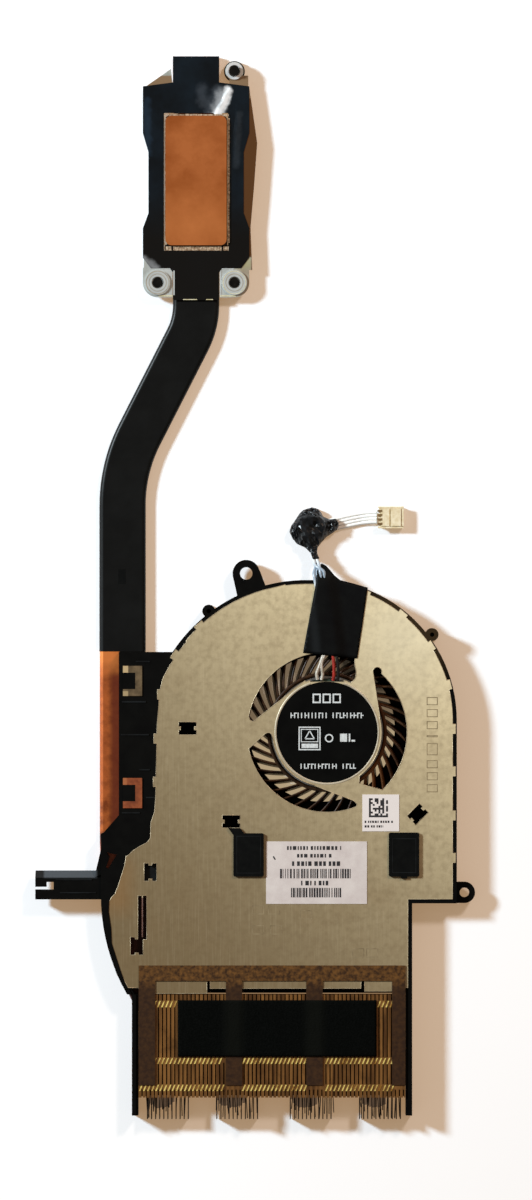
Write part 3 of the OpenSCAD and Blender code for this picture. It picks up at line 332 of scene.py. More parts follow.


# %% Painted light, a browner patch and a painted dark slot on the plate
# painted light: a lighter pool at the upper right
tint(plate_steel, (255, 246, 214), x=(372, 446), y=(590, 670), soft=26, strength=0.75)
# painted shade: the strip between two narrow slots is painted as one dark slot, with the pipe's copper in its
# shade and darker inner edges
tint(plate_steel, (112, 82, 72), x=(139, 144.6), y=(897.5, 938), soft=0.2)
tint(plate_steel, (150, 106, 56), x=(100, 132), y=(858, 912), soft=5, strength=0.4)
tint(plate_steel, (92, 56, 46), x=(141.2, 143.9), y=(899, 936), soft=0.2)

# %% Copper
contact_copper = blotched("Polished contact copper", (158, 80, 28), (194, 112, 58), scale=90.0,
                          grain_scale=1600.0, grain_strength=0.12, metallic=0.5, roughness=0.36)
tint(contact_copper, (222, 136, 74), y=(200, 250), soft=14, strength=0.55)
tint(contact_copper, (54, 34, 22), z=(2.0, 3.9), soft=0.1)
pipe_copper = blotched("Bare pipe copper", (124, 56, 22), (190, 100, 46), scale=520.0, low=0.3, high=0.62,
                       grain_scale=1200.0, grain_strength=0.25, metallic=0.5, roughness=0.36)
# painted light: the bare copper is lighter at the top and along its left side, where the light falls
tint(pipe_copper, (244, 142, 72), x=(90, 122), y=(640, 670), soft=5, strength=0.9)
tint(pipe_copper, (214, 112, 58), x=(90, 106), y=(660, 800), soft=4, strength=0.45)
tint(pipe_copper, (12, 9, 7), x=(119.3, 420), y=(640, 674), soft=0.2)
# painted shadow: the case's frame shades the right part of the pipe
tint(pipe_copper, (126, 52, 32), x=(110.8, 400), y=(674.5, 836), soft=1.2, strength=0.85)
# painted shade: dark where the pipe runs under the plate
tint(pipe_copper, (58, 26, 22), y=(834, 1400), soft=1.2)
# painted light: lighter where the pipe shows under the frame's end
tint(pipe_copper, (236, 132, 100), x=(100, 122), y=(842, 890), soft=3, strength=0.8)
frame_copper = blotched("Tarnished copper frame", (58, 34, 10), (120, 80, 34), scale=900.0, low=0.38,
                        high=0.66, grain_scale=1500.0, grain_strength=0.3, metallic=0.4, roughness=0.5)
tint(frame_copper, (44, 22, 6), y=(984, 1400), soft=2.4, strength=0.8)
clip_copper = blotched("Reddish clip copper", (136, 68, 42), (186, 102, 62), scale=500.0, metallic=0.5,
                       roughness=0.4)
tint(clip_copper, (112, 62, 42), x=(118, 141), y=(787, 803), soft=2, strength=0.5)
clip_steel = blotched("Grey-brown clip steel", (84, 70, 52), (132, 112, 84), scale=500.0, metallic=0.5,
                      roughness=0.38)
tint(clip_steel, (222, 194, 146), x=(118, 128.3), y=(664, 673), soft=0.2)
tint(clip_steel, (196, 172, 130), x=(118, 128.3), y=(691, 698), soft=0.2)
tint(clip_copper, (196, 120, 76), x=(118, 127), y=(775, 785), soft=0.3, strength=0.8)

# %% Black plastics, films and tape
case_plastic = blotched("Black case plastic", (3, 3, 3), (8, 8, 7), scale=260.0, grain_scale=5200.0,
                        grain_strength=0.25, roughness=0.45, Specular_IOR_Level=0.09)
tint(case_plastic, (58, 44, 26), x=(372, 450), y=(585, 668), soft=8, strength=0.7)
# painted light: the clip arm's top band is a lighter grey, where it is lit
tint(case_plastic, (66, 70, 74), x=(44, 97), y=(869.5, 877.5), soft=0.5)
impeller_plastic = blotched("Impeller plastic", (22, 13, 8), (64, 41, 24), scale=400.0, grain_scale=6000.0,
                            grain_strength=0.2, roughness=0.4, Specular_IOR_Level=0.2)
# painted highlight: the blades' inner ends at the right are lighter orange-brown, where they are lit
tint(impeller_plastic, (150, 92, 44), x=(362, 384), y=(690, 800), soft=5, strength=0.3)
pipe_film = blotched("Black film on the pipe", (10, 11, 11), (17, 18, 18), scale=150.0, low=0.4, high=0.75,
                     grain_scale=420.0, grain_strength=0.3, depth=0.0001, roughness=0.38,
                     Specular_IOR_Level=0.18)
bracket_film = blotched("Glossy black film", (8, 14, 19), (17, 27, 35), scale=100.0, low=0.4, high=0.75,
                        grain_scale=150.0, grain_strength=0.3, depth=0.0002, roughness=0.15,
                        Specular_IOR_Level=0.4)
# painted reflection: the film's bluish tone is the cool daylight it reflects, kept to its top; lower down it
# is plain near-black
tint(bracket_film, (13, 12, 11), y=(215, 400), soft=12, strength=0.9)
# painted highlights and reflections: white glare along the folds, grey and bluish reflections near the edges
for colour, start, end, width, strength in (
        ((104, 112, 122), (221, 88), (214, 110), 14, 0.26), ((86, 92, 100), (205, 86), (206, 100), 12, 0.25),
        ((90, 98, 106), (241, 112), (238, 164), 7, 0.12), ((60, 84, 108), (149, 98), (150, 150), 9, 0.16),
        ((176, 178, 180), (147, 257), (158, 266), 8, 0.4), ((228, 232, 236), (226, 92), (221, 110), 15, 0.35),
        ((250, 252, 254), (230.5, 88), (227.5, 100), 8.5, 0.95),
        ((246, 248, 250), (227.5, 101), (217.5, 113), 8, 0.95)):
    paint_highlight_streak(bracket_film, colour, start, end, width, strength)
black_tape = blotched("Black cloth tape", (6, 6, 7), (11, 12, 12), scale=300.0, grain_scale=2600.0,
                      grain_strength=0.3, roughness=0.55, Specular_IOR_Level=0.08)
crumpled_tape = blotched("Crumpled shiny tape", (8, 10, 12), (18, 21, 25), scale=500.0, grain_scale=900.0,
                         grain_strength=0.4, depth=0.0002, roughness=0.28, Specular_IOR_Level=0.4)
label_black = blotched("Black label", (4, 4, 4), (9, 9, 8), scale=200.0, roughness=0.5,
                       Specular_IOR_Level=0.06)
pad_rubber = blotched("Black rubber pad", (3, 4, 4), (9, 10, 9), scale=600.0, grain_scale=3800.0,
                      grain_strength=0.3, roughness=0.6, Specular_IOR_Level=0.08)
foam = blotched("Black foam", (3, 4, 3), (11, 12, 11), scale=2600.0, low=0.4, high=0.8, grain_scale=2400.0,
                grain_strength=0.7, depth=0.0002, roughness=0.9, Specular_IOR_Level=0.04)
tint(foam, (17, 18, 14), x=(225, 242), soft=2.5, strength=0.6)
tint(foam, (17, 18, 14), x=(306, 323), soft=2.5, strength=0.6)
black_screw = blotched("Blackened screw", (6, 6, 6), (20, 18, 16), scale=900.0, metallic=0.2, roughness=0.35,
                       Specular_IOR_Level=0.2)

# %% Steels and small metal parts
bracket_steel = blotched("Silver bracket steel", (172, 178, 170), (214, 218, 212), scale=260.0,
                         metallic=0.5, roughness=0.3)
tint(bracket_steel, (226, 232, 234), x=(146, 176), y=(264, 298), soft=2, strength=0.5)
tint(bracket_steel, (226, 232, 234), x=(218, 235), y=(264, 298), soft=3, strength=0.45)
tint(bracket_steel, (178, 152, 116), x=(236, 260), y=(258, 310), soft=3, strength=0.6)
tint(bracket_steel, (206, 206, 150), x=(234, 252), y=(256, 268), soft=1.5, strength=0.5)
# painted shade: the right leaf beside the film is dark brown, steel lying in shade
tint(bracket_steel, (104, 68, 38), x=(240, 280), y=(90, 257), soft=0.3)
tint(bracket_steel, (104, 68, 38), x=(251.2, 280), y=(250, 271), soft=0.3)
# painted reflection: the top of the bracket is tan, the warm light its steel reflects
tint(bracket_steel, (158, 130, 100), y=(75.5, 98), soft=0.3)
collar_steel = blotched("Bright collar steel", (176, 182, 174), (216, 220, 212), scale=260.0, metallic=0.5,
                        roughness=0.26)
# painted reflection: the top right collar is near-white, the bright light it reflects
tint(collar_steel, (250, 251, 252), x=(215, 265), y=(50, 90), soft=2)
tint(collar_steel, (240, 246, 250), x=(140, 250), y=(255, 300), soft=2, strength=0.55)
polished_steel = blotched("Polished shaft steel", (190, 190, 192), (214, 214, 216), scale=500.0,
                          metallic=0.95, roughness=0.15)
rotor_steel = blotched("Rotor cup steel", (150, 150, 150), (176, 176, 174), scale=500.0, metallic=0.85,
                       roughness=0.3)
magnet = blotched("Ferrite magnet", (40, 40, 42), (58, 58, 60), scale=900.0, roughness=0.7)
stator_iron = blotched("Laminated iron", (104, 106, 110), (134, 136, 140), scale=600.0, metallic=0.6,
                       roughness=0.45)
brass_part = blotched("Turned brass", (186, 150, 84), (212, 178, 108), scale=500.0, metallic=0.8,
                      roughness=0.28)
bronze = blotched("Sintered bronze", (126, 88, 50), (156, 112, 66), scale=2200.0, low=0.3, high=0.7,
                  metallic=0.6, roughness=0.5)
coil_wire = blotched("Enamelled wire", (150, 74, 32), (190, 104, 50), scale=2400.0, metallic=0.5,
                     roughness=0.3)
board_dark = blotched("Circuit board", (14, 30, 24), (28, 48, 38), scale=800.0, roughness=0.45)
contact_metal = blotched("Tinned contact", (150, 120, 80), (190, 164, 120), scale=900.0, metallic=0.6,
                         roughness=0.3)
# stamped lines on the plate, and also painted shade rings round the collars
stamp_and_shade_line_steel = blotched("Stamped line and shade line", (128, 112, 84), (168, 150, 118), scale=500.0,
                       metallic=0.3, roughness=0.4)
# painted highlights: bright yellowish lines along edges
edge_highlight_gold = blotched("Yellowish edge highlight", (206, 196, 150), (244, 238, 206), scale=700.0, metallic=0.3,
                     roughness=0.35)
# painted highlights: a lighter black for the frame's ribs and the pads' rims
rib_highlight_plastic = blotched("Lighter black plastic for highlights", (13, 14, 15), (26, 29, 31), scale=300.0, roughness=0.4,
                       Specular_IOR_Level=0.2)
# painted highlight: the pale ring round the label
ring_highlight_steel = blotched("Pale steel ring highlight", (182, 170, 148), (206, 194, 170), scale=400.0, metallic=0.3,
                      roughness=0.45)
burr_steel = blotched("Sheared steel edge", (150, 132, 104), (200, 182, 150), scale=500.0, metallic=0.4,
                      roughness=0.4)
# painted shade: the burr along the slot takes the same dark slot colour
tint(burr_steel, (112, 82, 72), x=(139, 145), y=(897.5, 938), soft=0.2)

# %% Pale plastics, paper and solder
white_plastic = blotched("White plastic", (214, 212, 206), (228, 226, 220), scale=300.0, roughness=0.4)
cream_plastic = blotched("Cream connector plastic", (218, 200, 160), (240, 228, 198), scale=900.0,
                         grain_scale=5000.0, roughness=0.38)
paper = blotched("Label paper", (200, 188, 184), (214, 204, 199), scale=260.0, grain_scale=2600.0,
                 grain_strength=0.15, roughness=0.7, Specular_IOR_Level=0.2)
tint(paper, (230, 221, 217), x=(358, 402), y=(788, 836), soft=1, strength=0.8)
ink = blotched("Grey-black ink", (16, 14, 17), (34, 31, 35), scale=2400.0, roughness=0.7)
label_print = blotched("White print", (186, 190, 190), (222, 226, 226), scale=1800.0, roughness=0.5)
solder = blotched("Solder", (170, 140, 112), (236, 214, 186), scale=1500.0, low=0.4, high=0.6,
                  metallic=0.5, roughness=0.28)

# %% Wire covers
covers = {}
for name, dark, light in (("pale", (150, 138, 122), (214, 206, 194)), ("red", (122, 34, 28), (168, 52, 42)),
                          ("black", (12, 11, 11), (26, 24, 22))):
    covers[name] = blotched("Wire cover, " + name, dark, light, scale=900.0, roughness=0.28)
    # painted light: past the tape every wire, the black one too, is painted near-white, washed out by the
    # light
    tint(covers[name], (250, 249, 246), y=(480, 585), soft=0.5)
    # painted shadow: a bluish grey near the tape's tip
    tint(covers[name], (150, 164, 178), y=(562, 585), soft=3)
print(len(bpy.data.materials), "finishes so far")

# %% [markdown]
# The fins are thin copper sheets whose folded edges nearly close the stack. Their tarnish follows
# each sheet, so the colour changes fast across the stack and slowly along a fin. Their long ends,
# which reach out below the stack, are almost black.

# %% Tarnished fin copper
fin_copper, tree, shader = finish("Tarnished fin copper", metallic=0.4, roughness=0.4)
rubbed = ramp(tree, use(tree, streaks, Scale=900.0, Stretch=(1.0, 0.06, 0.4)), 0.35, 0.65)
base = blend_colours(tree, rubbed, srgb(84, 52, 22), srgb(148, 102, 52))
dirt = use(tree, blotches, Scale=260.0, Low=0.5, High=0.85)
tree.links.new(blend_colours(tree, dirt, base, srgb(70, 44, 18)), shader.inputs["Base Color"])
tree.links.new(use(tree, grain, Scale=2000.0, Strength=0.2, Depth=0.00005), shader.inputs["Normal"])
tint(fin_copper, (38, 30, 24), y=(1098.5, 1400), soft=0.5)
# painted shadow: webs that glow a little, standing for the brown shade between the bent fin ends
glowing_shadow_copper = blotched("Shaded fin copper", (70, 56, 42), (104, 86, 66), scale=500.0, roughness=0.5,
                      Emission_Color=(0.115, 0.072, 0.044, 1), Emission_Strength=1.0)
# painted highlight: the bright gold of the locking tabs
lock_highlight_gold = blotched("Gold tab highlight", (158, 110, 44), (250, 222, 128), scale=420.0, low=0.36, high=0.56,
                     metallic=0.35, roughness=0.3)

# %% [markdown]
# Each solid gets its finish by name. Its mesh is left exactly as the CAD model made it.

# %% Finishes on the solids
finish_of = {
    "fan_housing": case_plastic, "motor_plate": plate_steel, "impeller": impeller_plastic,
    "rotor_yoke": rotor_steel, "magnet_ring": magnet, "rotor_shaft": polished_steel,
    "thrust_washer": white_plastic, "bearing_sleeve": bronze, "bearing_holder": brass_part,
    "stator_core": stator_iron, "stator_coils": coil_wire, "motor_board": board_dark,
    "hub_label": label_black, "heat_pipe": pipe_copper, "pipe_film": pipe_film, "fin_stack": fin_copper,
    "fin_frame": frame_copper, "fin_pad": foam, "pipe_clip_upper": clip_steel,
    "pipe_clip_lower": clip_copper,
    "contact_block": contact_copper, "spring_bracket": bracket_steel, "bracket_film": bracket_film,
    "screw_collars": collar_steel, "captive_screw_1": black_screw, "captive_screw_2": black_screw,
    "captive_screw_3": black_screw, "rubber_pad_left": pad_rubber, "rubber_pad_right": pad_rubber,
    "small_label": paper, "part_label": paper, "cable_tape": black_tape, "cable": covers["black"],
    "cable_wrap": black_tape, "connector_housing": cream_plastic, "connector_contacts": contact_metal,
}
for name, material in finish_of.items():
    node[name].data.materials.clear()
    node[name].data.materials.append(material)
print(len(finish_of), "solids finished, left out:", sorted(set(node) - set(finish_of)))


# %% Helpers for pieces
def piece(name, bm, material, body="module", smooth=True):
    """Makes an object from a bmesh, gives it a finish and lets it ride on a body."""
    mesh = bpy.data.meshes.new(name)
    bmesh.ops.recalc_face_normals(bm, faces=bm.faces)
    bm.to_mesh(mesh)
    bm.free()
    mesh.materials.append(material)
    mesh.polygons.foreach_set("use_smooth", [smooth] * len(mesh.polygons))
    made = in_scene(name, mesh)
    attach(made, body)
    print(name, "has", len(mesh.polygons), "faces")
    return made


def points_of(made):
    """The points among what a bmesh operator made."""
    return [v for v in made if isinstance(v, bmesh.types.BMVert)]


def slab(bm, points, low, high):
    """Adds a flat slab to the bmesh: an outline in pixels, raised from one height to another."""
    outline = [bm.verts.new(at(x, y, low)) for x, y in points]
    face = bm.faces.new(outline)
    top = points_of(bmesh.ops.extrude_face_region(bm, geom=[face])["geom"])
    bmesh.ops.translate(bm, verts=top, vec=(0, 0, (high - low) * MM))


def bar(bm, x0, y0, x1, y1, low, high):
    """A slab with four square corners, from one pixel corner to the other."""
    slab(bm, [(x0, y0), (x0, y1), (x1, y1), (x1, y0)], low, high)


# %% [markdown]
# Four thin wires leave the motor, run under the tape and on to the plug: two pale ones, a red one
# and a black one. Each one is a curve with a round section, and its length is printed.
# They follow the same way as the cable of the CAD model and lie side by side.

# %% The wires' way
cable_way = [
    (0, 13, 6.4), (0.1, 14.5, 6.7), (0.3, 17, 6.9), (0.4, 20, 6.9), (0.1, 24, 6.9), (-0.5, 29, 6.9),
    (-1.2, 34, 6.9), (-1.8, 38, 6.9), (-2.1, 40, 6.4), (-2.4, 41.6, 5.1), (-2.9, 43.2, 3.4),
    (-3.2, 45.5, 1.9), (-2.8, 48, 1.3), (-1.6, 50.2, 1), (0.4, 51.6, 1), (2.8, 52.2, 0.8),
    (5.4, 52.8, 0.7), (8.4, 53.4, 0.6), (10.8, 53.7, 0.9), (12.5, 53.7, 1.2),
]
WIRE = 0.8


def beside(way, offset, lift):
    """The way moved sideways and upwards, by an offset and a lift in mm at each of its points."""
    moved = []
    for i, point in enumerate(way):
        before, after = Vector(way[max(i - 1, 0)]), Vector(way[min(i + 1, len(way) - 1)])
        along = after - before
        across = Vector((along.y, -along.x, 0)).normalized()
        moved.append(Vector(point) + across * offset[i] + Vector((0, 0, lift[i])))
    return moved


def smooth_way(points, steps=6):
    """More points on a smooth curve through the given ones."""
    dense = []
    for i in range(len(points) - 1):
        a, b, c, d = (points[min(max(i + k, 0), len(points) - 1)] for k in (-1, 0, 1, 2))
        for k in range(steps):
            t = k / steps
            dense.append(0.5 * ((2 * b) + (c - a) * t + (2 * a - 5 * b + 4 * c - d) * t * t
                                + (3 * b - a - 3 * c + d) * t ** 3))
    return dense + [points[-1]]


# %% Four wires
plug_row = [0.4] * 7
side = [
    ("wire_pale_left", covers["pale"], [-2.4, -2.7, -2.0, -1.3] + [-1.2] * 5, [-0.42] * 4, 3, 0.0),
    ("wire_pale_right", covers["pale"], [-1.4, -1.2, -1.7, -0.8] + [-0.4] * 5, [0.42] * 4, 1, 0.0),
    ("wire_red", covers["red"], [1.5, 1.6, 1.4, 0.9] + [0.4] * 5, [0.42] * 4, -1, 0.8),
    ("wire_black", covers["black"], [2.6, 2.7, 2.4, 1.8] + [1.2] * 5, [-0.42] * 4, -3, 0.8),
]
for name, material, flat_part, neck_part, row, rise in side:
    offset = flat_part + neck_part + [-row * step for step in plug_row]
    lift = [0] * 8 + [rise * share for share in (0.6, 1, 1, 1, 1, 0.8, 0.4)] + [0] * 5
    way = smooth_way(beside(cable_way, offset, lift))
    curve = bpy.data.curves.new(name, "CURVE")
    curve.dimensions = "3D"
    curve.bevel_depth = WIRE / 2 * MM
    curve.bevel_resolution = 4
    spline = curve.splines.new("POLY")
    spline.points.add(len(way) - 1)
    for k, p in enumerate(way):
        spline.points[k].co = (*on_fan(*p), 1)
    curve.materials.append(material)
    wire = in_scene(name, curve)
    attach(wire, "module")
    length = sum((b - a).length for a, b in zip(way, way[1:])) * MM
    print(name, "is", round(length / MM, 1), "mm long")
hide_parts("cable")

# %% [markdown]
# The wires' fold below the fan is wrapped in black tape that someone pressed together by hand. It
# starts as a flat outline that is cut into small triangles. Its middle is raised, noise crumples it
# along soft folds, and the region is then extruded down to the table. Flat shading keeps each small
# facet, so some of them catch the light.

# %% Crumpled tape round the fold
wrap_outline = [
    (289.4, 531.6), (291.5, 525.3), (296, 519), (299.5, 513.5), (303, 510), (311.9, 507.2), (318, 508.8),
    (321, 512), (323.4, 516.5), (329.5, 519.3), (335.6, 518.5), (338.2, 521.5), (338.8, 526), (336.9, 530),
    (331.5, 533.6), (326.5, 537), (321.3, 542.5), (317.6, 547.5), (316.9, 552.8), (319.4, 558.6),
    (312.6, 559), (310.6, 552.8), (305, 547.4), (297.2, 544), (292.5, 538.4),
]
bm = bmesh.new()
bm.faces.new([bm.verts.new(at(x, y, 2)) for x, y in wrap_outline])
bmesh.ops.triangulate(bm, faces=bm.faces)
for _ in range(3):
    bmesh.ops.subdivide_edges(bm, edges=bm.edges, cuts=1, use_grid_fill=True)
    bmesh.ops.triangulate(bm, faces=bm.faces)
rim = [v.co.copy() for v in bm.verts if v.is_boundary]
inside = {v: min((v.co - r).length for r in rim) / MM for v in bm.verts}
for v, depth in inside.items():
    fold = noise.noise(v.co * 620) * 0.9 + noise.noise(v.co * 1900) * 0.55
    neck = min(max((on_fan(0, 47.6, 0).y - v.co.y) / MM / 4, 0), 1)
    height = 2.0 + 2.0 * min(1, depth / 2.2) ** 0.6 + fold * (1 - 0.8 * neck)
    v.co.z = (min(max(height, 1.2), 4.3) * (1 - neck) + (4.9 + 0.3 * fold) * neck) * MM
    if not v.is_boundary:
        near, elsewhere = v.co * 1500, v.co * 1500 + Vector((5, 5, 5))
        v.co.xy += Vector((noise.noise(near), noise.noise(elsewhere))) * 0.25 * MM
lowered = bmesh.ops.extrude_face_region(bm, geom=list(bm.faces))
for v in points_of(lowered["geom"]):
    v.co.z = (0.25 + 0.15 * noise.noise(v.co * 900)) * MM
wire_wrap = piece("wire_wrap", bm, crumpled_tape, smooth=False)
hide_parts("cable_wrap")

# %% [markdown]
# A wide strip of cloth tape holds the wires down on the plate and hangs over its edge as a flap. It
# is one sheet: its outline is cut into small triangles, each point is set to the height of what lies
# under it (the plate, the wires or the air behind the rim), and an extrusion gives the thickness.

# %% Cloth tape over the wires
tape_outline = [
    (315.7, 583.3), (316.4, 575), (317.3, 568), (321.7, 563.3), (326, 565.6), (330, 570), (334.5, 575.5),
    (340, 580), (354, 583.6), (367.7, 587.6), (364.5, 610), (361, 634), (357.2, 658.4), (344, 656.8),
    (330, 655.4), (317, 654.2), (303, 652.8), (307, 630), (311.4, 607),
]


def under_tape(x, y):
    """The height in mm of the tape's top at a place in mm from the fan's axis."""
    steps = cable_way[3:11]
    k = max([i for i in range(len(steps) - 1) if steps[i][1] <= y], default=0)
    (xa, ya, za), (xb, yb, zb) = steps[k], steps[k + 1]
    t = min(max((y - ya) / (yb - ya), 0), 1)
    flat = 6.65 - max(0, y - 39) * 0.42
    over = max(za + (zb - za) * t + 0.55, flat)
    slope = min(max((abs(x - xa - (xb - xa) * t) - 1.5) / 3.2, 0), 1)
    soft = slope * slope * (3 - 2 * slope)
    crease = 0.12 * noise.noise(Vector((x * 1.3, y * 1.3, 0))) * min(max((y - 36.5) / 1.5, 0), 1)
    return over + (flat - over) * soft + crease


TAPE = 0.1
HIGHEST = 7.44
bm = bmesh.new()
bm.faces.new([bm.verts.new(at(x, y, 6)) for x, y in tape_outline])
bmesh.ops.triangulate(bm, faces=bm.faces)
for _ in range(5):
    long_edges = [e for e in bm.edges if e.calc_length() > 0.9 * MM]
    bmesh.ops.subdivide_edges(bm, edges=long_edges, cuts=1)
    bmesh.ops.triangulate(bm, faces=bm.faces)
    bmesh.ops.beautify_fill(bm, faces=bm.faces, edges=[e for e in bm.edges if not e.is_boundary])
for v in bm.verts:
    x, y = v.co.x / MM - FAN_AXIS.x, v.co.y / MM - FAN_AXIS.y
    v.co.z = min(under_tape(x, y), HIGHEST) * MM
lowered = bmesh.ops.extrude_face_region(bm, geom=list(bm.faces))
bmesh.ops.translate(bm, verts=points_of(lowered["geom"]), vec=(0, 0, -TAPE * MM))
wire_tape = piece("wire_tape", bm, black_tape)
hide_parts("cable_tape")

# %% [markdown]
# The plug is a small cream housing with a thinner mouth, a groove across its middle, two guide
# ribs along its sides and four dark windows where the contacts sit. Slabs with bevelled edges are
# enough, because it is only 7 mm long.

# %% Plug
bm = bmesh.new()
bar(bm, 379, 507.2, 403.6, 527.4, 0.15, 2.2)
bmesh.ops.bevel(bm, geom=bm.edges, offset=0.15 * MM, affect="EDGES", segments=2, profile=0.5, material=-1)
for x0, y0, x1, y1, top in ((381, 508.6, 389.4, 526, 2.5), (390.8, 508.6, 401, 526, 2.6),
                            (378, 506.4, 404, 508, 2.35), (378, 526.6, 404, 528.2, 2.35),
                            (402, 508.6, 403.9, 526, 2.45)):
    bar(bm, x0, y0, x1, y1, 1.9, top)
plug = piece("plug_body", bm, cream_plastic, smooth=False)
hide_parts("connector_housing")
bm = bmesh.new()
for k in range(4):
    bar(bm, 377.6, 509.6 + 4.3 * k, 382.4, 512 + 4.3 * k, 1.6, 2.54)
plug_windows = piece("plug_windows", bm, contact_metal, smooth=False)
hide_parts("connector_contacts")

# %% [markdown]
# The round label is black with white print. Its words and marks belong to a maker, so they aren't
# drawn. Simple shapes of the same size stand there instead: framed squares, rows of ticks, a
# framed triangle and a ring. Each is a very thin slab on the label, so it stays sharp close up.

# %% Generic print on the hub label
def ring(bm, px, py, outer, inner, low, high, sides=32):
    """Adds a flat ring to the bmesh, its radii in pixels."""
    made = bmesh.ops.create_circle(bm, segments=sides, radius=outer * PIXEL * MM)["verts"]
    bmesh.ops.translate(bm, verts=made, vec=at(px, py, low))
    wall = bmesh.ops.extrude_edge_only(bm, edges=list({e for v in made for e in v.link_edges}))["geom"]
    inside = points_of(wall)
    centre = at(px, py, low)
    for v in inside:
        v.co = centre + (v.co - centre) * (inner / outer)
    faces = [f for f in wall if isinstance(f, bmesh.types.BMFace)]
    top = bmesh.ops.extrude_face_region(bm, geom=faces)["geom"]
    bmesh.ops.translate(bm, verts=points_of(top), vec=(0, 0, (high - low) * MM))


def frame_lines(bm, x0, y0, x1, y1, line, low, high):
    """Adds the four bars of a rectangle's outline."""
    bar(bm, x0, y0, x1, y0 + line, low, high)
    bar(bm, x0, y1 - line, x1, y1, low, high)
    bar(bm, x0, y0 + line, x0 + line, y1 - line, low, high)
    bar(bm, x1 - line, y0 + line, x1, y1 - line, low, high)


PRINT = (6.6, 6.62)
rng = random.Random(4)
bm = bmesh.new()
for x in (312.5, 322.5, 332.5):
    frame_lines(bm, x, 693.5, x + 8.2, 703, 1.5, *PRINT)
for x0, x1, y0, y1 in ((290.5, 363.5, 712.5, 718), (300.5, 355.5, 763.5, 768.5)):
    x = x0
    while x < x1:
        if rng.random() < 0.86:
            bar(bm, x, y0, x + 1.1, y1, *PRINT)
            if rng.random() < 0.6:
                level = rng.choice((y0, (y0 + y1) / 2 - 0.5, y1 - 1))
                bar(bm, x + 1.1, level, x + 2.9, level + 1, *PRINT)
        x += 3.5
frame_lines(bm, 298.5, 726.5, 320.5, 750, 1.2, *PRINT)
frame_lines(bm, 300.8, 728.8, 318.2, 742, 0.8, *PRINT)
corners = [(305, 738.6), (309.6, 730.6), (314.2, 738.6)]
for a, b in zip(corners, corners[1:] + corners[:1]):
    along = (Vector(b) - Vector(a)).normalized()
    off = Vector((-along.y, along.x)) * 0.55
    slab(bm, [tuple(Vector(q) + o) for q, o in ((a, off), (b, off), (b, -off), (a, -off))], *PRINT)
ring(bm, 329, 738, 4.2, 2.9, *PRINT)
for block in ((301.5, 743.5, 318, 747.8), (340, 733.5, 347, 741.5), (348.6, 733.5, 350.2, 741.5),
              (351.4, 739.6, 355, 741.5)):
    bar(bm, *block, *PRINT)
piece("hub_label_print", bm, label_print, smooth=False)

# %% [markdown]
# The two white labels get the same treatment in dark ink: short dashes where lines of text stand,
# stripes of changing width for the bar fields, and a field of small squares on the little label.
# A seeded random source draws them, so they carry no data and are the same on every run.

# %% Generic print on the white labels
def dashes(bm, x0, x1, y0, y1, gap=1.3, smallest=1.2, largest=3.6):
    """Adds a row of short bars with small gaps, like a line of print seen from far off."""
    x = x0
    while x < x1:
        width = min(rng.uniform(smallest, largest), x1 - x)
        bar(bm, x, y0, x + width, y1, *PRINT)
        x += width + (gap if rng.random() < 0.8 else gap * 2.2)


bm = bmesh.new()
for line in ((287, 341, 845.8, 849.6), (297, 334, 853.6, 857.2), (292, 341, 861, 865.6),
             (301, 329, 880.4, 885)):
    dashes(bm, *line)
for field in ((280, 350.5, 868.5, 878), (291, 341, 887.5, 897)):
    dashes(bm, *field, gap=0.8, smallest=0.6, largest=2.0)
CELLS, CELL = 10, 1.9
for i in range(CELLS):
    for k in range(CELLS):
        if rng.random() < 0.55 or i == 0 or k == CELLS - 1:
            x, y = 368.8 + CELL * i, 798 + CELL * k
            bar(bm, x, y, x + CELL, y + CELL, *PRINT)
slab(bm, [(272.6, 856.4), (273.8, 855.6), (275.8, 859), (274.8, 859.8)], *PRINT)
for line in ((364.5, 394, 820.4, 822.6), (364.5, 383, 825, 827.2)):
    dashes(bm, *line, gap=0.8, smallest=0.8, largest=2)
piece("white_label_print", bm, ink, smooth=False)

# %% [markdown]
# Stamping leaves a bright burr along every edge of the plate. It is drawn as a thin rounded bead
# that follows the plate's own upper edges: the edges between the flat top and an upright wall are
# joined into chains, and each chain becomes a curve with a small round section.

# %% Bright burr along the plate's edges
plate_mesh = bmesh.new()
plate_mesh.from_mesh(node["motor_plate"].data)
bmesh.ops.remove_doubles(plate_mesh, verts=plate_mesh.verts, dist=0.000001)
top_z = max(v.co.z for v in plate_mesh.verts)
rims = {}
for edge in plate_mesh.edges:
    level = all(abs(v.co.z - top_z) < 0.00001 for v in edge.verts)
    flat = [abs(f.normal.z) > 0.9 for f in edge.link_faces]
    if level and len(flat) == 2 and flat[0] != flat[1]:
        for v in edge.verts:
            rims.setdefault(v, []).append(edge)
burr = bpy.data.curves.new("plate_burr", "CURVE")
burr.dimensions = "3D"
burr.bevel_depth = 0.1 * MM
burr.bevel_resolution = 1
todo = {e for edges in rims.values() for e in edges}
while todo:
    edge = todo.pop()
    chain = [edge.verts[0], edge.verts[1]]
    while True:
        following = [e for e in rims[chain[-1]] if e in todo]
        if not following:
            break
        todo.discard(following[0])
        chain.append(following[0].other_vert(chain[-1]))
    closed = chain[0] is chain[-1]
    if closed:
        chain.pop()
    spline = burr.splines.new("POLY")
    spline.points.add(len(chain) - 1)
    spline.use_cyclic_u = closed
    for point, v in zip(spline.points, chain):
        point.co = (v.co.x, v.co.y, top_z - 0.05 * MM, 1)
print("burr:", len(burr.splines), "chains")
shape = in_scene("burr_way", burr)
bm = bmesh.new()
bm.from_mesh(bpy.data.meshes.new_from_object(shape.evaluated_get(bpy.context.evaluated_depsgraph_get())))
bpy.data.objects.remove(shape)
plate_mesh.free()
piece("plate_burr", bm, burr_steel)

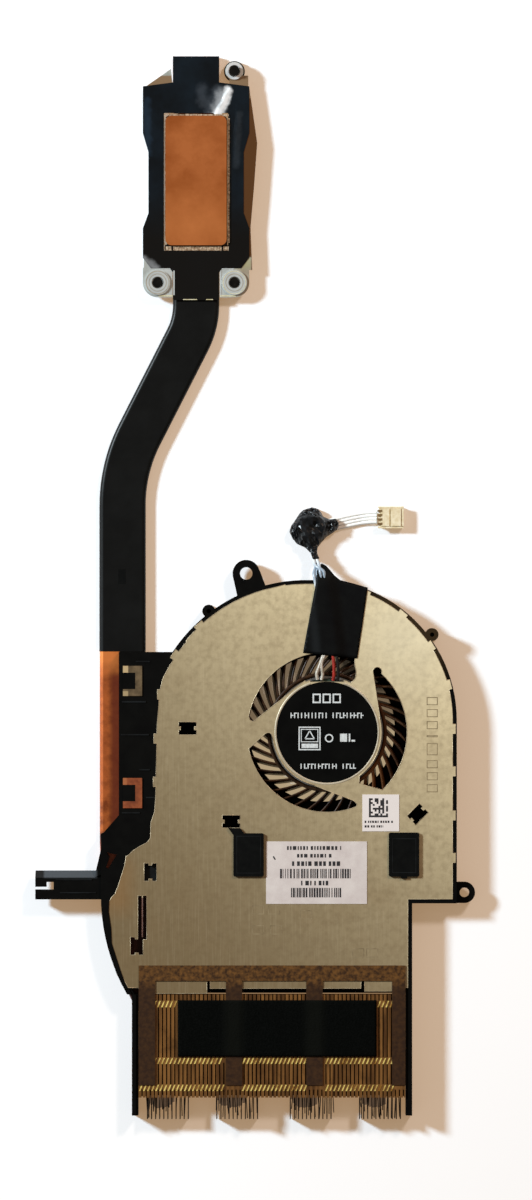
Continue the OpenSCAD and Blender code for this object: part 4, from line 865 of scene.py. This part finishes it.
# %% [markdown]
# At the lower left the case's rim is turned in over the plate's edge, in steps. A thin strip follows
# the rim there, with short steps on its inner side.

# %% Rim turned in over the plate
rim_way = [(103, 899), (103.8, 912), (105.2, 928), (107.8, 944), (111.4, 958), (116.2, 972), (121.8, 984),
           (125, 989.5)]
widths = [4.8, 3.6, 4.6, 2.8, 3.6, 3.4, 2.2, 1.6]
bm = bmesh.new()
points = []
for i, (x, y) in enumerate(rim_way):
    after = rim_way[min(i + 1, len(rim_way) - 1)]
    before = rim_way[max(i - 1, 0)]
    inward = Vector((after[1] - before[1], before[0] - after[0])).normalized()
    points.append(((x, y), tuple(Vector((x, y)) + inward * (widths[i] + 1.6))))
RIM = (6.45, 6.62)
slab(bm, [outer for outer, inner in points] + [inner for outer, inner in reversed(points)], *RIM)
piece("rim_strip", bm, case_plastic, smooth=False)

# %% [markdown]
# A formed ring holds the hub label: the plate is pressed up round it, and its rim shows as a pale circle
# that is open at the top, where the wires come out. It is a small bead, spun from a short profile, and
# its pale colour is a painted highlight.

# %% Pressed ring round the label
bm = bmesh.new()
PLATE_TOP = 6.5
OPENING = math.radians(109)
axis = at(*FAN_PIXEL, 0)
profile = [bm.verts.new(at(*FAN_PIXEL, PLATE_TOP + z) + Vector((r * MM, 0, 0)))
           for r, z in ((12.6, 0), (12.64, 0.05), (12.9, 0.06), (13.1, 0.05), (13.14, 0))]
edges = [bm.edges.new(pair) for pair in zip(profile, profile[1:])]
for v in profile:
    v.co = axis + Matrix.Rotation(OPENING, 4, "Z") @ (v.co - axis)
bmesh.ops.spin(bm, geom=profile + edges, cent=axis, axis=(0, 0, 1), angle=math.radians(322), steps=120)
piece("label_ring_highlight", bm, ring_highlight_steel)

# %% [markdown]
# The fins lock into each other with small folded tabs, slanted nicks in three rows that the copper
# frame's fingers interrupt. Each tab is a low slant whose bright gold colour is a painted highlight.

# %% Golden locking tabs
bm = bmesh.new()
FIN_TOP = 6.5
PITCH = 4.08
rows = [
    (1057.4, 1063.4, [(153, 225), (242, 307), (325, 395)]),
    (1084.2, 1090.4, [(139, 225), (242, 307), (325, 397)]),
    (1000.4, 1006.8, [(153, 178), (377, 395)]),
]
for top, bottom, bays in rows:
    for start, end in bays:
        x = start
        while x + 3.4 < end:
            lift = 0.06 + 0.03 * rng.random()
            tab = [(x, bottom), (x + 1.5, bottom), (x + 4.0, top), (x + 2.6, top)]
            slab(bm, tab, FIN_TOP, FIN_TOP + lift)
            x += PITCH
piece("lock_tabs", bm, lock_highlight_gold, smooth=False)

# %% [markdown]
# Below the stack the fins' long ends are soft and bent. Between the straight ones of the CAD model
# stand thin bent ones of uneven length, closer together at the left of each group. Each one is a
# narrow slab whose lower end is pushed aside. Low webs of a paler copper, which glow a little, are
# painted shadow: they stand for the soft brown shade between the bent ends near the stack.

# %% Bent fin ends
bm = bmesh.new()
webs = bmesh.new()
for start, end in ((146, 188.5), (216, 260), (290, 334), (359, 402)):
    x = start
    while x < end:
        share = (x - start) / (end - start)
        length = rng.uniform(1107, 1118.5) if share < 0.6 else rng.uniform(1112, 1119)
        lean = rng.uniform(-1.6, 1.6)
        top = rng.uniform(3.5, 6.2)
        slab(bm, [(x, 1095), (x + 0.8, 1095), (x + 0.8 + lean, length), (x + lean, length)], 0.7, top)
        if share < 0.62:
            web = 1101 + rng.uniform(-1, 1) + 8 * math.sin(math.pi * min(share / 0.62, 1)) ** 0.7
            slab(webs, [(x + 0.5, 1096), (x + 3.4, 1096), (x + 3.4, web - 0.7), (x + 0.5, web)], 0.5, 1.2)
        x += rng.uniform(1.8, 3.2) if share < 0.5 else rng.uniform(3, 5.5)
piece("bent_fin_ends", bm, fin_copper, smooth=False)
piece("fin_shadow_webs", webs, glowing_shadow_copper, smooth=False)

# %% [markdown]
# Pale solder shows round the copper block: a thin ragged line along three sides and a wider strip
# with tooth marks at its lower end. Many short bars with uneven edges give the ragged line.

# %% Solder round the contact block
bm = bmesh.new()
SOLDER = 3.31
for side_x in (166.0, 228.6):
    y = 118.0
    while y < 243:
        step = rng.uniform(2.5, 7)
        grow = rng.uniform(-0.5, 0.7)
        bar(bm, side_x - 0.9 - max(grow, 0) * 0.4, y, side_x + 0.9 + grow * 0.4, y + step * 0.92, SOLDER,
            SOLDER + rng.uniform(0.05, 0.3))
        y += step
x = 169.0
while x < 226:
    step = rng.uniform(2, 6)
    bar(bm, x, 114.2 - rng.uniform(0, 0.8), x + step, 115.9 + rng.uniform(0, 0.5), SOLDER,
        SOLDER + rng.uniform(0.05, 0.3))
    x += step * 1.1
bar(bm, 165.8, 246.2, 228.6, 250.4, SOLDER, SOLDER + 0.05)
x = 167.0
while x < 227:
    bar(bm, x, 246.2, x + rng.uniform(0.5, 1.3), 250.2 + rng.uniform(-1.4, 0.3), SOLDER, SOLDER + 0.16)
    x += rng.uniform(1.6, 3.4)
piece("solder_line", bm, solder, smooth=False)
bm = bmesh.new()
for x in (171.5, 221.5):
    bar(bm, x, 246, x + 1.6, 250.2, SOLDER, SOLDER + 0.2)
bar(bm, 166.4, 245.1, 228.2, 246.2, SOLDER, SOLDER + 0.08)
piece("solder_marks", bm, black_screw, smooth=False)

# %% [markdown]
# A soft foam strip lies over the fins. It is a fine grid whose edges are rounded down and whose top
# is slightly uneven, and it rises a little where the frame's fingers run under it. The grid is
# closed downwards by an extrusion.

# %% Foam strip on the fins
low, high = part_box("fin_pad")
bm = bmesh.new()
bmesh.ops.create_grid(bm, x_segments=96, y_segments=28, size=0.5)
size = high - low
for v in bm.verts:
    u, w = v.co.x + 0.5, v.co.y + 0.5
    v.co.x, v.co.y = low.x + u * size.x, low.y + w * size.y
    edge = min(u * size.x, (1 - u) * size.x, w * size.y, (1 - w) * size.y) / MM
    rounding = 0.12 * (1 - min(1, edge / 0.3)) ** 2
    px = pixel_of(v.co)[0]
    finger = sum(1 for a, b in ((225, 241.5), (307, 324)) if a < px < b) * 0.07
    uneven = 0.05 * noise.noise(v.co * 500) + 0.03 * noise.noise(v.co * 2200)
    v.co.z = high.z + (finger + uneven - rounding - 0.1) * MM
lowered = bmesh.ops.extrude_face_region(bm, geom=list(bm.faces))
for v in points_of(lowered["geom"]):
    v.co.z = low.z
foam_strip = piece("foam_strip", bm, foam)
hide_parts("fin_pad")

# %% [markdown]
# Small marks finish the flat parts. The bracket's ears get painted highlights along their edges and
# round one screw and painted shade rings round their screws, and the plate gets plain stamped outlines
# in place of its letters. The black frame beside the pipe gets low ribs and a web under a slot, each
# rubber pad a rim, and the pipe's film a patch; ribs and rims are a lighter black as painted highlights.
# A ray from above tells how high each one has to lie.

# %% Small marks on ears, plate, frame, pads and film
sight = bpy.context.evaluated_depsgraph_get()


def top_at(px, py):
    """The height in mm of whatever lies uppermost at a pixel."""
    hit, place, *_ = bpy.context.scene.ray_cast(sight, at(px, py, 30), Vector((0, 0, -1)))
    return place.z / MM if hit else 0.0


def on_top(bm, boxes, below, above, line=None):
    """Adds bars, or outlines with a given line width, that lie on what is under their middles."""
    for x0, y0, x1, y1 in boxes:
        level = top_at((x0 + x1) / 2, (y0 + y1) / 2)
        if line:
            frame_lines(bm, x0, y0, x1, y1, line, level - below, level + above)
        else:
            bar(bm, x0, y0, x1, y1, level - below, level + above)


bm = bmesh.new()
# painted highlights: bright lines along the ears' lower edges and where the film ends
on_top(bm, ((158.5, 295.2, 174.4, 296.4), (220.2, 295.2, 236, 296.4)), 0.05, 0.08)
for x0, x1 in ((183, 197), (206, 213)):
    level = top_at((x0 + x1) / 2, 298.4)
    bar(bm, x0, 299, x1, 299.8, level - 0.1, level + 0.02)
lights, lines = bmesh.new(), bmesh.new()
# painted highlights: light lines inside the ears' inner edges
on_top(lights, ((173.2, 270.5, 174.6, 295), (220, 270.5, 221.4, 295), (160, 268.2, 173, 269.4),
                (221.6, 268.2, 234, 269.4)), 0.05, 0.08)
for name, outer_part in (("captive_screw_1", lines), ("captive_screw_2", bm)):
    low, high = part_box(name)
    px, py = pixel_of((low + high) / 2)
    level = top_at(px, py - 11.3)
    # painted shade: darker rings round the collars, except the outer ring of the second screw, a painted
    # highlight
    ring(lines, px, py, 8.9, 8.4, level - 0.03, level + 0.02)
    ring(outer_part, px, py, 11.7, 11.1, level - 0.03, level + 0.02)
piece("ear_edge_highlights", lights, collar_steel, smooth=False)
piece("collar_shade_lines", lines, stamp_and_shade_line_steel, smooth=False)

stamped = bmesh.new()
marks = ((697, 8), (709, 8), (721, 8), (735, 2), (743, 12), (760, 8), (772, 8), (784, 8))
on_top(stamped, [(426.5, y, 437.5, y + tall) for y, tall in marks], 0.02, 0.012, line=0.8)
for x, y in ((252, 905), (268, 905), (300, 910), (252, 925), (270, 925), (352, 948), (366, 948)):
    level = top_at(x + 6, y + 5)
    frame_lines(stamped, x, y, x + 12, y + 9, 0.7, level - 0.02, level + 0.012)
piece("stamp_marks", stamped, stamp_and_shade_line_steel, smooth=False)
piece("ear_highlight_marks", bm, edge_highlight_gold, smooth=False)

bm = bmesh.new()
# painted highlights: the ribs are a lighter black, where light catches them
on_top(bm, ((122, 701, 146, 702.4), (121, 734, 149, 735.2), (139, 769, 150, 770.2), (146, 796.6, 154, 798),
            (136, 661, 150, 662), (122, 812, 140, 813.2), (60, 892, 96, 893), (56, 879, 92, 880)), 0.1, 0.22)
bar(bm, 143, 861, 157, 883, 4.6, 5.4)
piece("frame_ribs", bm, rib_highlight_plastic, smooth=False)
bm = bmesh.new()
# painted highlights: lighter rims inside each pad's edge
on_top(bm, ((236.5, 835.5, 261, 873), (392, 838, 416, 872.5)), 0.02, 0.03, line=0.7)
piece("pad_rims", bm, rib_highlight_plastic, smooth=False)
bm = bmesh.new()
level = top_at(122, 576)
bar(bm, 118, 569, 125.6, 584, level - 0.02, level + 0.03)
piece("film_patch", bm, pad_rubber, smooth=False)

# %% [markdown]
# The fan wheel's blades are thin, curved and leaning: the lower edge of each blade runs ahead of its
# upper edge, so from above the blades nearly close the view to the table. Each blade starts as one
# upright edge at the hub, is swept outwards by small turns round the centre of its curve, and gets
# its thickness from solidify. The hub is a profile spun round the axis.

# %% Fan wheel
low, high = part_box("impeller")
ROOT, TIP, LAG, CURVE, LEAN = 14.6, 28.0, math.radians(33), 30.0, 1.6
root = Vector((ROOT, 0))
tip = Vector((TIP * math.cos(LAG), -TIP * math.sin(LAG)))
chord = tip - root
back = math.sqrt(CURVE ** 2 - (chord.length / 2) ** 2)
centre = (root + tip) / 2 + Vector((chord.y, -chord.x)).normalized() * back
sweep = math.atan2(tip.y - centre.y, tip.x - centre.x) - math.atan2(root.y - centre.y, root.x - centre.x)
bm = bmesh.new()
blades = 37
for k in range(blades):
    turn = Matrix.Rotation(2 * math.pi * k / blades, 3, "Z")
    ahead = Matrix.Rotation(LEAN / 20, 3, "Z")
    upper = Vector((root.x, root.y, 0)) * MM
    lower = ahead @ upper
    upper.z, lower.z = high.z - 0.1 * MM, low.z + 0.1 * MM
    middle = (upper + lower) / 2
    ends = [bm.verts.new(axis + turn @ v) for v in (upper, middle, lower)]
    upright = [bm.edges.new((ends[0], ends[1])), bm.edges.new((ends[1], ends[2]))]
    hinge = axis + turn @ Vector((centre.x * MM, centre.y * MM, 0))
    bmesh.ops.spin(bm, geom=ends + upright, cent=hinge, axis=(0, 0, 1), angle=sweep, steps=14)
bmesh.ops.recalc_face_normals(bm, faces=bm.faces)
bmesh.ops.solidify(bm, geom=list(bm.faces), thickness=0.42 * MM)
hub_profile = [bm.verts.new(axis + Vector((r * MM, 0, z)))
               for r, z in ((0.5, low.z), (14.7, low.z), (15, low.z + 0.3 * MM), (15, high.z - 0.1 * MM),
                            (14.9, high.z), (14.2, high.z), (14.2, low.z + 0.9 * MM))]
hub_edges = [bm.edges.new(pair) for pair in zip(hub_profile, hub_profile[1:])]
bmesh.ops.spin(bm, geom=hub_profile + hub_edges, cent=axis, axis=(0, 0, 1), angle=2 * math.pi, steps=96,
               use_merge=True)
fan_wheel = piece("fan_wheel", bm, impeller_plastic, body="rotor")
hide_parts("impeller")
print("fan wheel:", blades, "blades,", len(fan_wheel.data.polygons), "faces")

# %% [markdown]
# The shiny film over the sprung bracket isn't flat: two creases run down from the pipe's neck beside
# the copper block. The white glare along each fold and its grey margin are painted highlights in the
# film's finish. Each crease itself is a low ridge.

# %% Creases in the film
def crease(bm, start, end, width, height, base):
    """Adds a low ridge between two pixels, steeper on its left side."""
    a, b = Vector(start), Vector(end)
    across = Vector((-(b - a).y, (b - a).x)).normalized()
    steps = 10
    rows = []
    for k in range(steps + 1):
        t = k / steps
        p = a.lerp(b, t) + across * 1.2 * noise.noise(Vector((t * 5, start[0], 0)))
        h = height * math.sin(math.pi * min(max(t, 0.05), 0.95)) ** 0.5
        rows.append([bm.verts.new(at(*(p + across * width * s), base + h * u))
                     for s, u in ((-1, 0), (-0.45, 0.45), (0.1, 0.93), (0.3, 1), (0.8, 0))])
    for one, two in zip(rows, rows[1:]):
        for k in range(len(one) - 1):
            bm.faces.new((one[k], one[k + 1], two[k + 1], two[k]))


FILM_TOP = 3.31
bm = bmesh.new()
crease(bm, (239, 104), (236, 160), 4.5, 0.2, FILM_TOP)
crease(bm, (231, 87.5), (216.5, 115), 4.2, 0.35, FILM_TOP)
piece("film_crease", bm, bracket_film)

# %% [markdown]
# The table is white and keeps the soft shadows: cool daylight from the left leaves a warm shadow at
# the right, and a warm lamp from the right leaves a narrow cool one at the left. Where the camera
# looks at it, the table also glows, and the glow is painted light and shade: a warm tone near the
# object that colours its shadows, a lighter tan in the view through the fan's inlet, painted shade
# darker towards the inlet's upper part and almost black near the tape, and plain white far off. It is
# seen only from above, so it hides nothing in a view from below. A large plain world light fills the shadows.

# %% Floor
JUST_BELOW = Matrix.Translation((0, 0, -0.05 * MM))
bm = bmesh.new()
bmesh.ops.create_grid(bm, x_segments=1, y_segments=1, size=3, matrix=JUST_BELOW)
floor_mesh = bpy.data.meshes.new("floor")
bm.to_mesh(floor_mesh)
bm.free()
floor = in_scene("floor", floor_mesh)
floor_white, tree, shader = finish("White table", roughness=0.85, Specular_IOR_Level=0.1)
shader.inputs["Base Color"].default_value = (0.72, 0.84, 0.95, 1)
path = add(tree, "ShaderNodeLightPath")
seen = combine(tree, "MAXIMUM", path.outputs["Is Camera Ray"], path.outputs["Is Glossy Ray"])
seen = combine(tree, "MAXIMUM", seen, path.outputs["Is Transmission Ray"])
tree.links.new(seen, shader.inputs["Emission Strength"])
place = own_place(tree)
split = add(tree, "ShaderNodeSeparateXYZ", {"Vector": place})
across, up = split.outputs["X"], split.outputs["Y"]
from_axis = vectors(tree, "DISTANCE", place, at(*FAN_PIXEL, 0), output="Value")
INLET = 21 * MM
# painted light: a lighter tan glow where the table is seen through the fan's inlet
lit_under_fan = ramp(tree, from_axis, INLET + 0.5 * MM, INLET - 0.5 * MM)
near = combine(tree, "LESS_THAN", from_axis, INLET)
# painted shade: darker towards the inlet's upper part and almost black near the tape
upper = ramp(tree, up, at(*FAN_PIXEL, 0).y, at(FAN_PIXEL[0], FAN_PIXEL[1] - 14, 0).y)
right = ramp(tree, across, at(337, 732, 0).x, at(344, 732, 0).x)
high_up = ramp(tree, up, at(327, 698, 0).y, at(327, 688, 0).y)
shaded_corner = combine(tree, "MULTIPLY", right, high_up)
far_off = ramp(tree, from_axis, 190 * MM, 300 * MM)
# painted shadow colour: the warm glow near the object shows only in the shadows
glow = (0.33, 0.2, 0.1, 1)
for mask, colour in ((lit_under_fan, (0.42, 0.32, 0.19, 1)),
                     (combine(tree, "MULTIPLY", upper, near), (0.17, 0.12, 0.07, 1)),
                     (combine(tree, "MULTIPLY", shaded_corner, near), (0.02, 0.014, 0.008, 1)),
                     (far_off, (1, 1, 1, 1))):
    glow = blend_colours(tree, mask, glow, colour)
tree.links.new(glow, shader.inputs["Emission Color"])
side = add(tree, "ShaderNodeNewGeometry")
clear = add(tree, "ShaderNodeBsdfTransparent")
one_sided = add(tree, "ShaderNodeMixShader", {0: side.outputs["Backfacing"], 1: shader.outputs["BSDF"],
                                              2: clear.outputs["BSDF"]})
output = next(n for n in tree.nodes if n.type == "OUTPUT_MATERIAL")
tree.links.new(one_sided.outputs["Shader"], output.inputs["Surface"])
floor_mesh.materials.append(floor_white)

# %% Daylight, lamp and world
def softbox(name, bearing, height, reach, size, level, colour):
    """A square area light that faces the object; level 1 alone would show colours as written."""
    data = bpy.data.lights.new(name, "AREA")
    data.shape = "SQUARE"
    data.size = size
    data.energy = level * (math.pi * reach) ** 2 / math.sin(math.radians(height))
    data.color = colour
    light = in_scene(name, data)
    turn, lift = math.radians(bearing), math.radians(height)
    aim = Vector((math.cos(turn) * math.cos(lift), math.sin(turn) * math.cos(lift), math.sin(lift)))
    light.location = at(*MIDDLE, 0) + aim * reach
    light.rotation_mode = "QUATERNION"
    light.rotation_quaternion = (-aim).to_track_quat("-Z", "Y")


softbox("daylight", 156, 34, 1.3, 0.17, 0.83, (0.82, 0.94, 1.0))
softbox("warm_lamp", 52, 47, 1.2, 0.16, 0.24, (1.0, 0.72, 0.56))
world = bpy.data.worlds.new("soft room")
bpy.context.scene.world = world
world.use_nodes = True
tree = world.node_tree
path = add(tree, "ShaderNodeLightPath")
seen = path.outputs["Is Camera Ray"]
background = tree.nodes["Background"]
tree.links.new(ramp(tree, seen, 0, 1, 0.15, 1.0), background.inputs["Strength"])
tree.links.new(blend_colours(tree, seen, (1.0, 0.82, 0.64, 1), (1, 1, 1, 1)), background.inputs["Color"])
bpy.context.scene.view_settings.view_transform = "Standard"
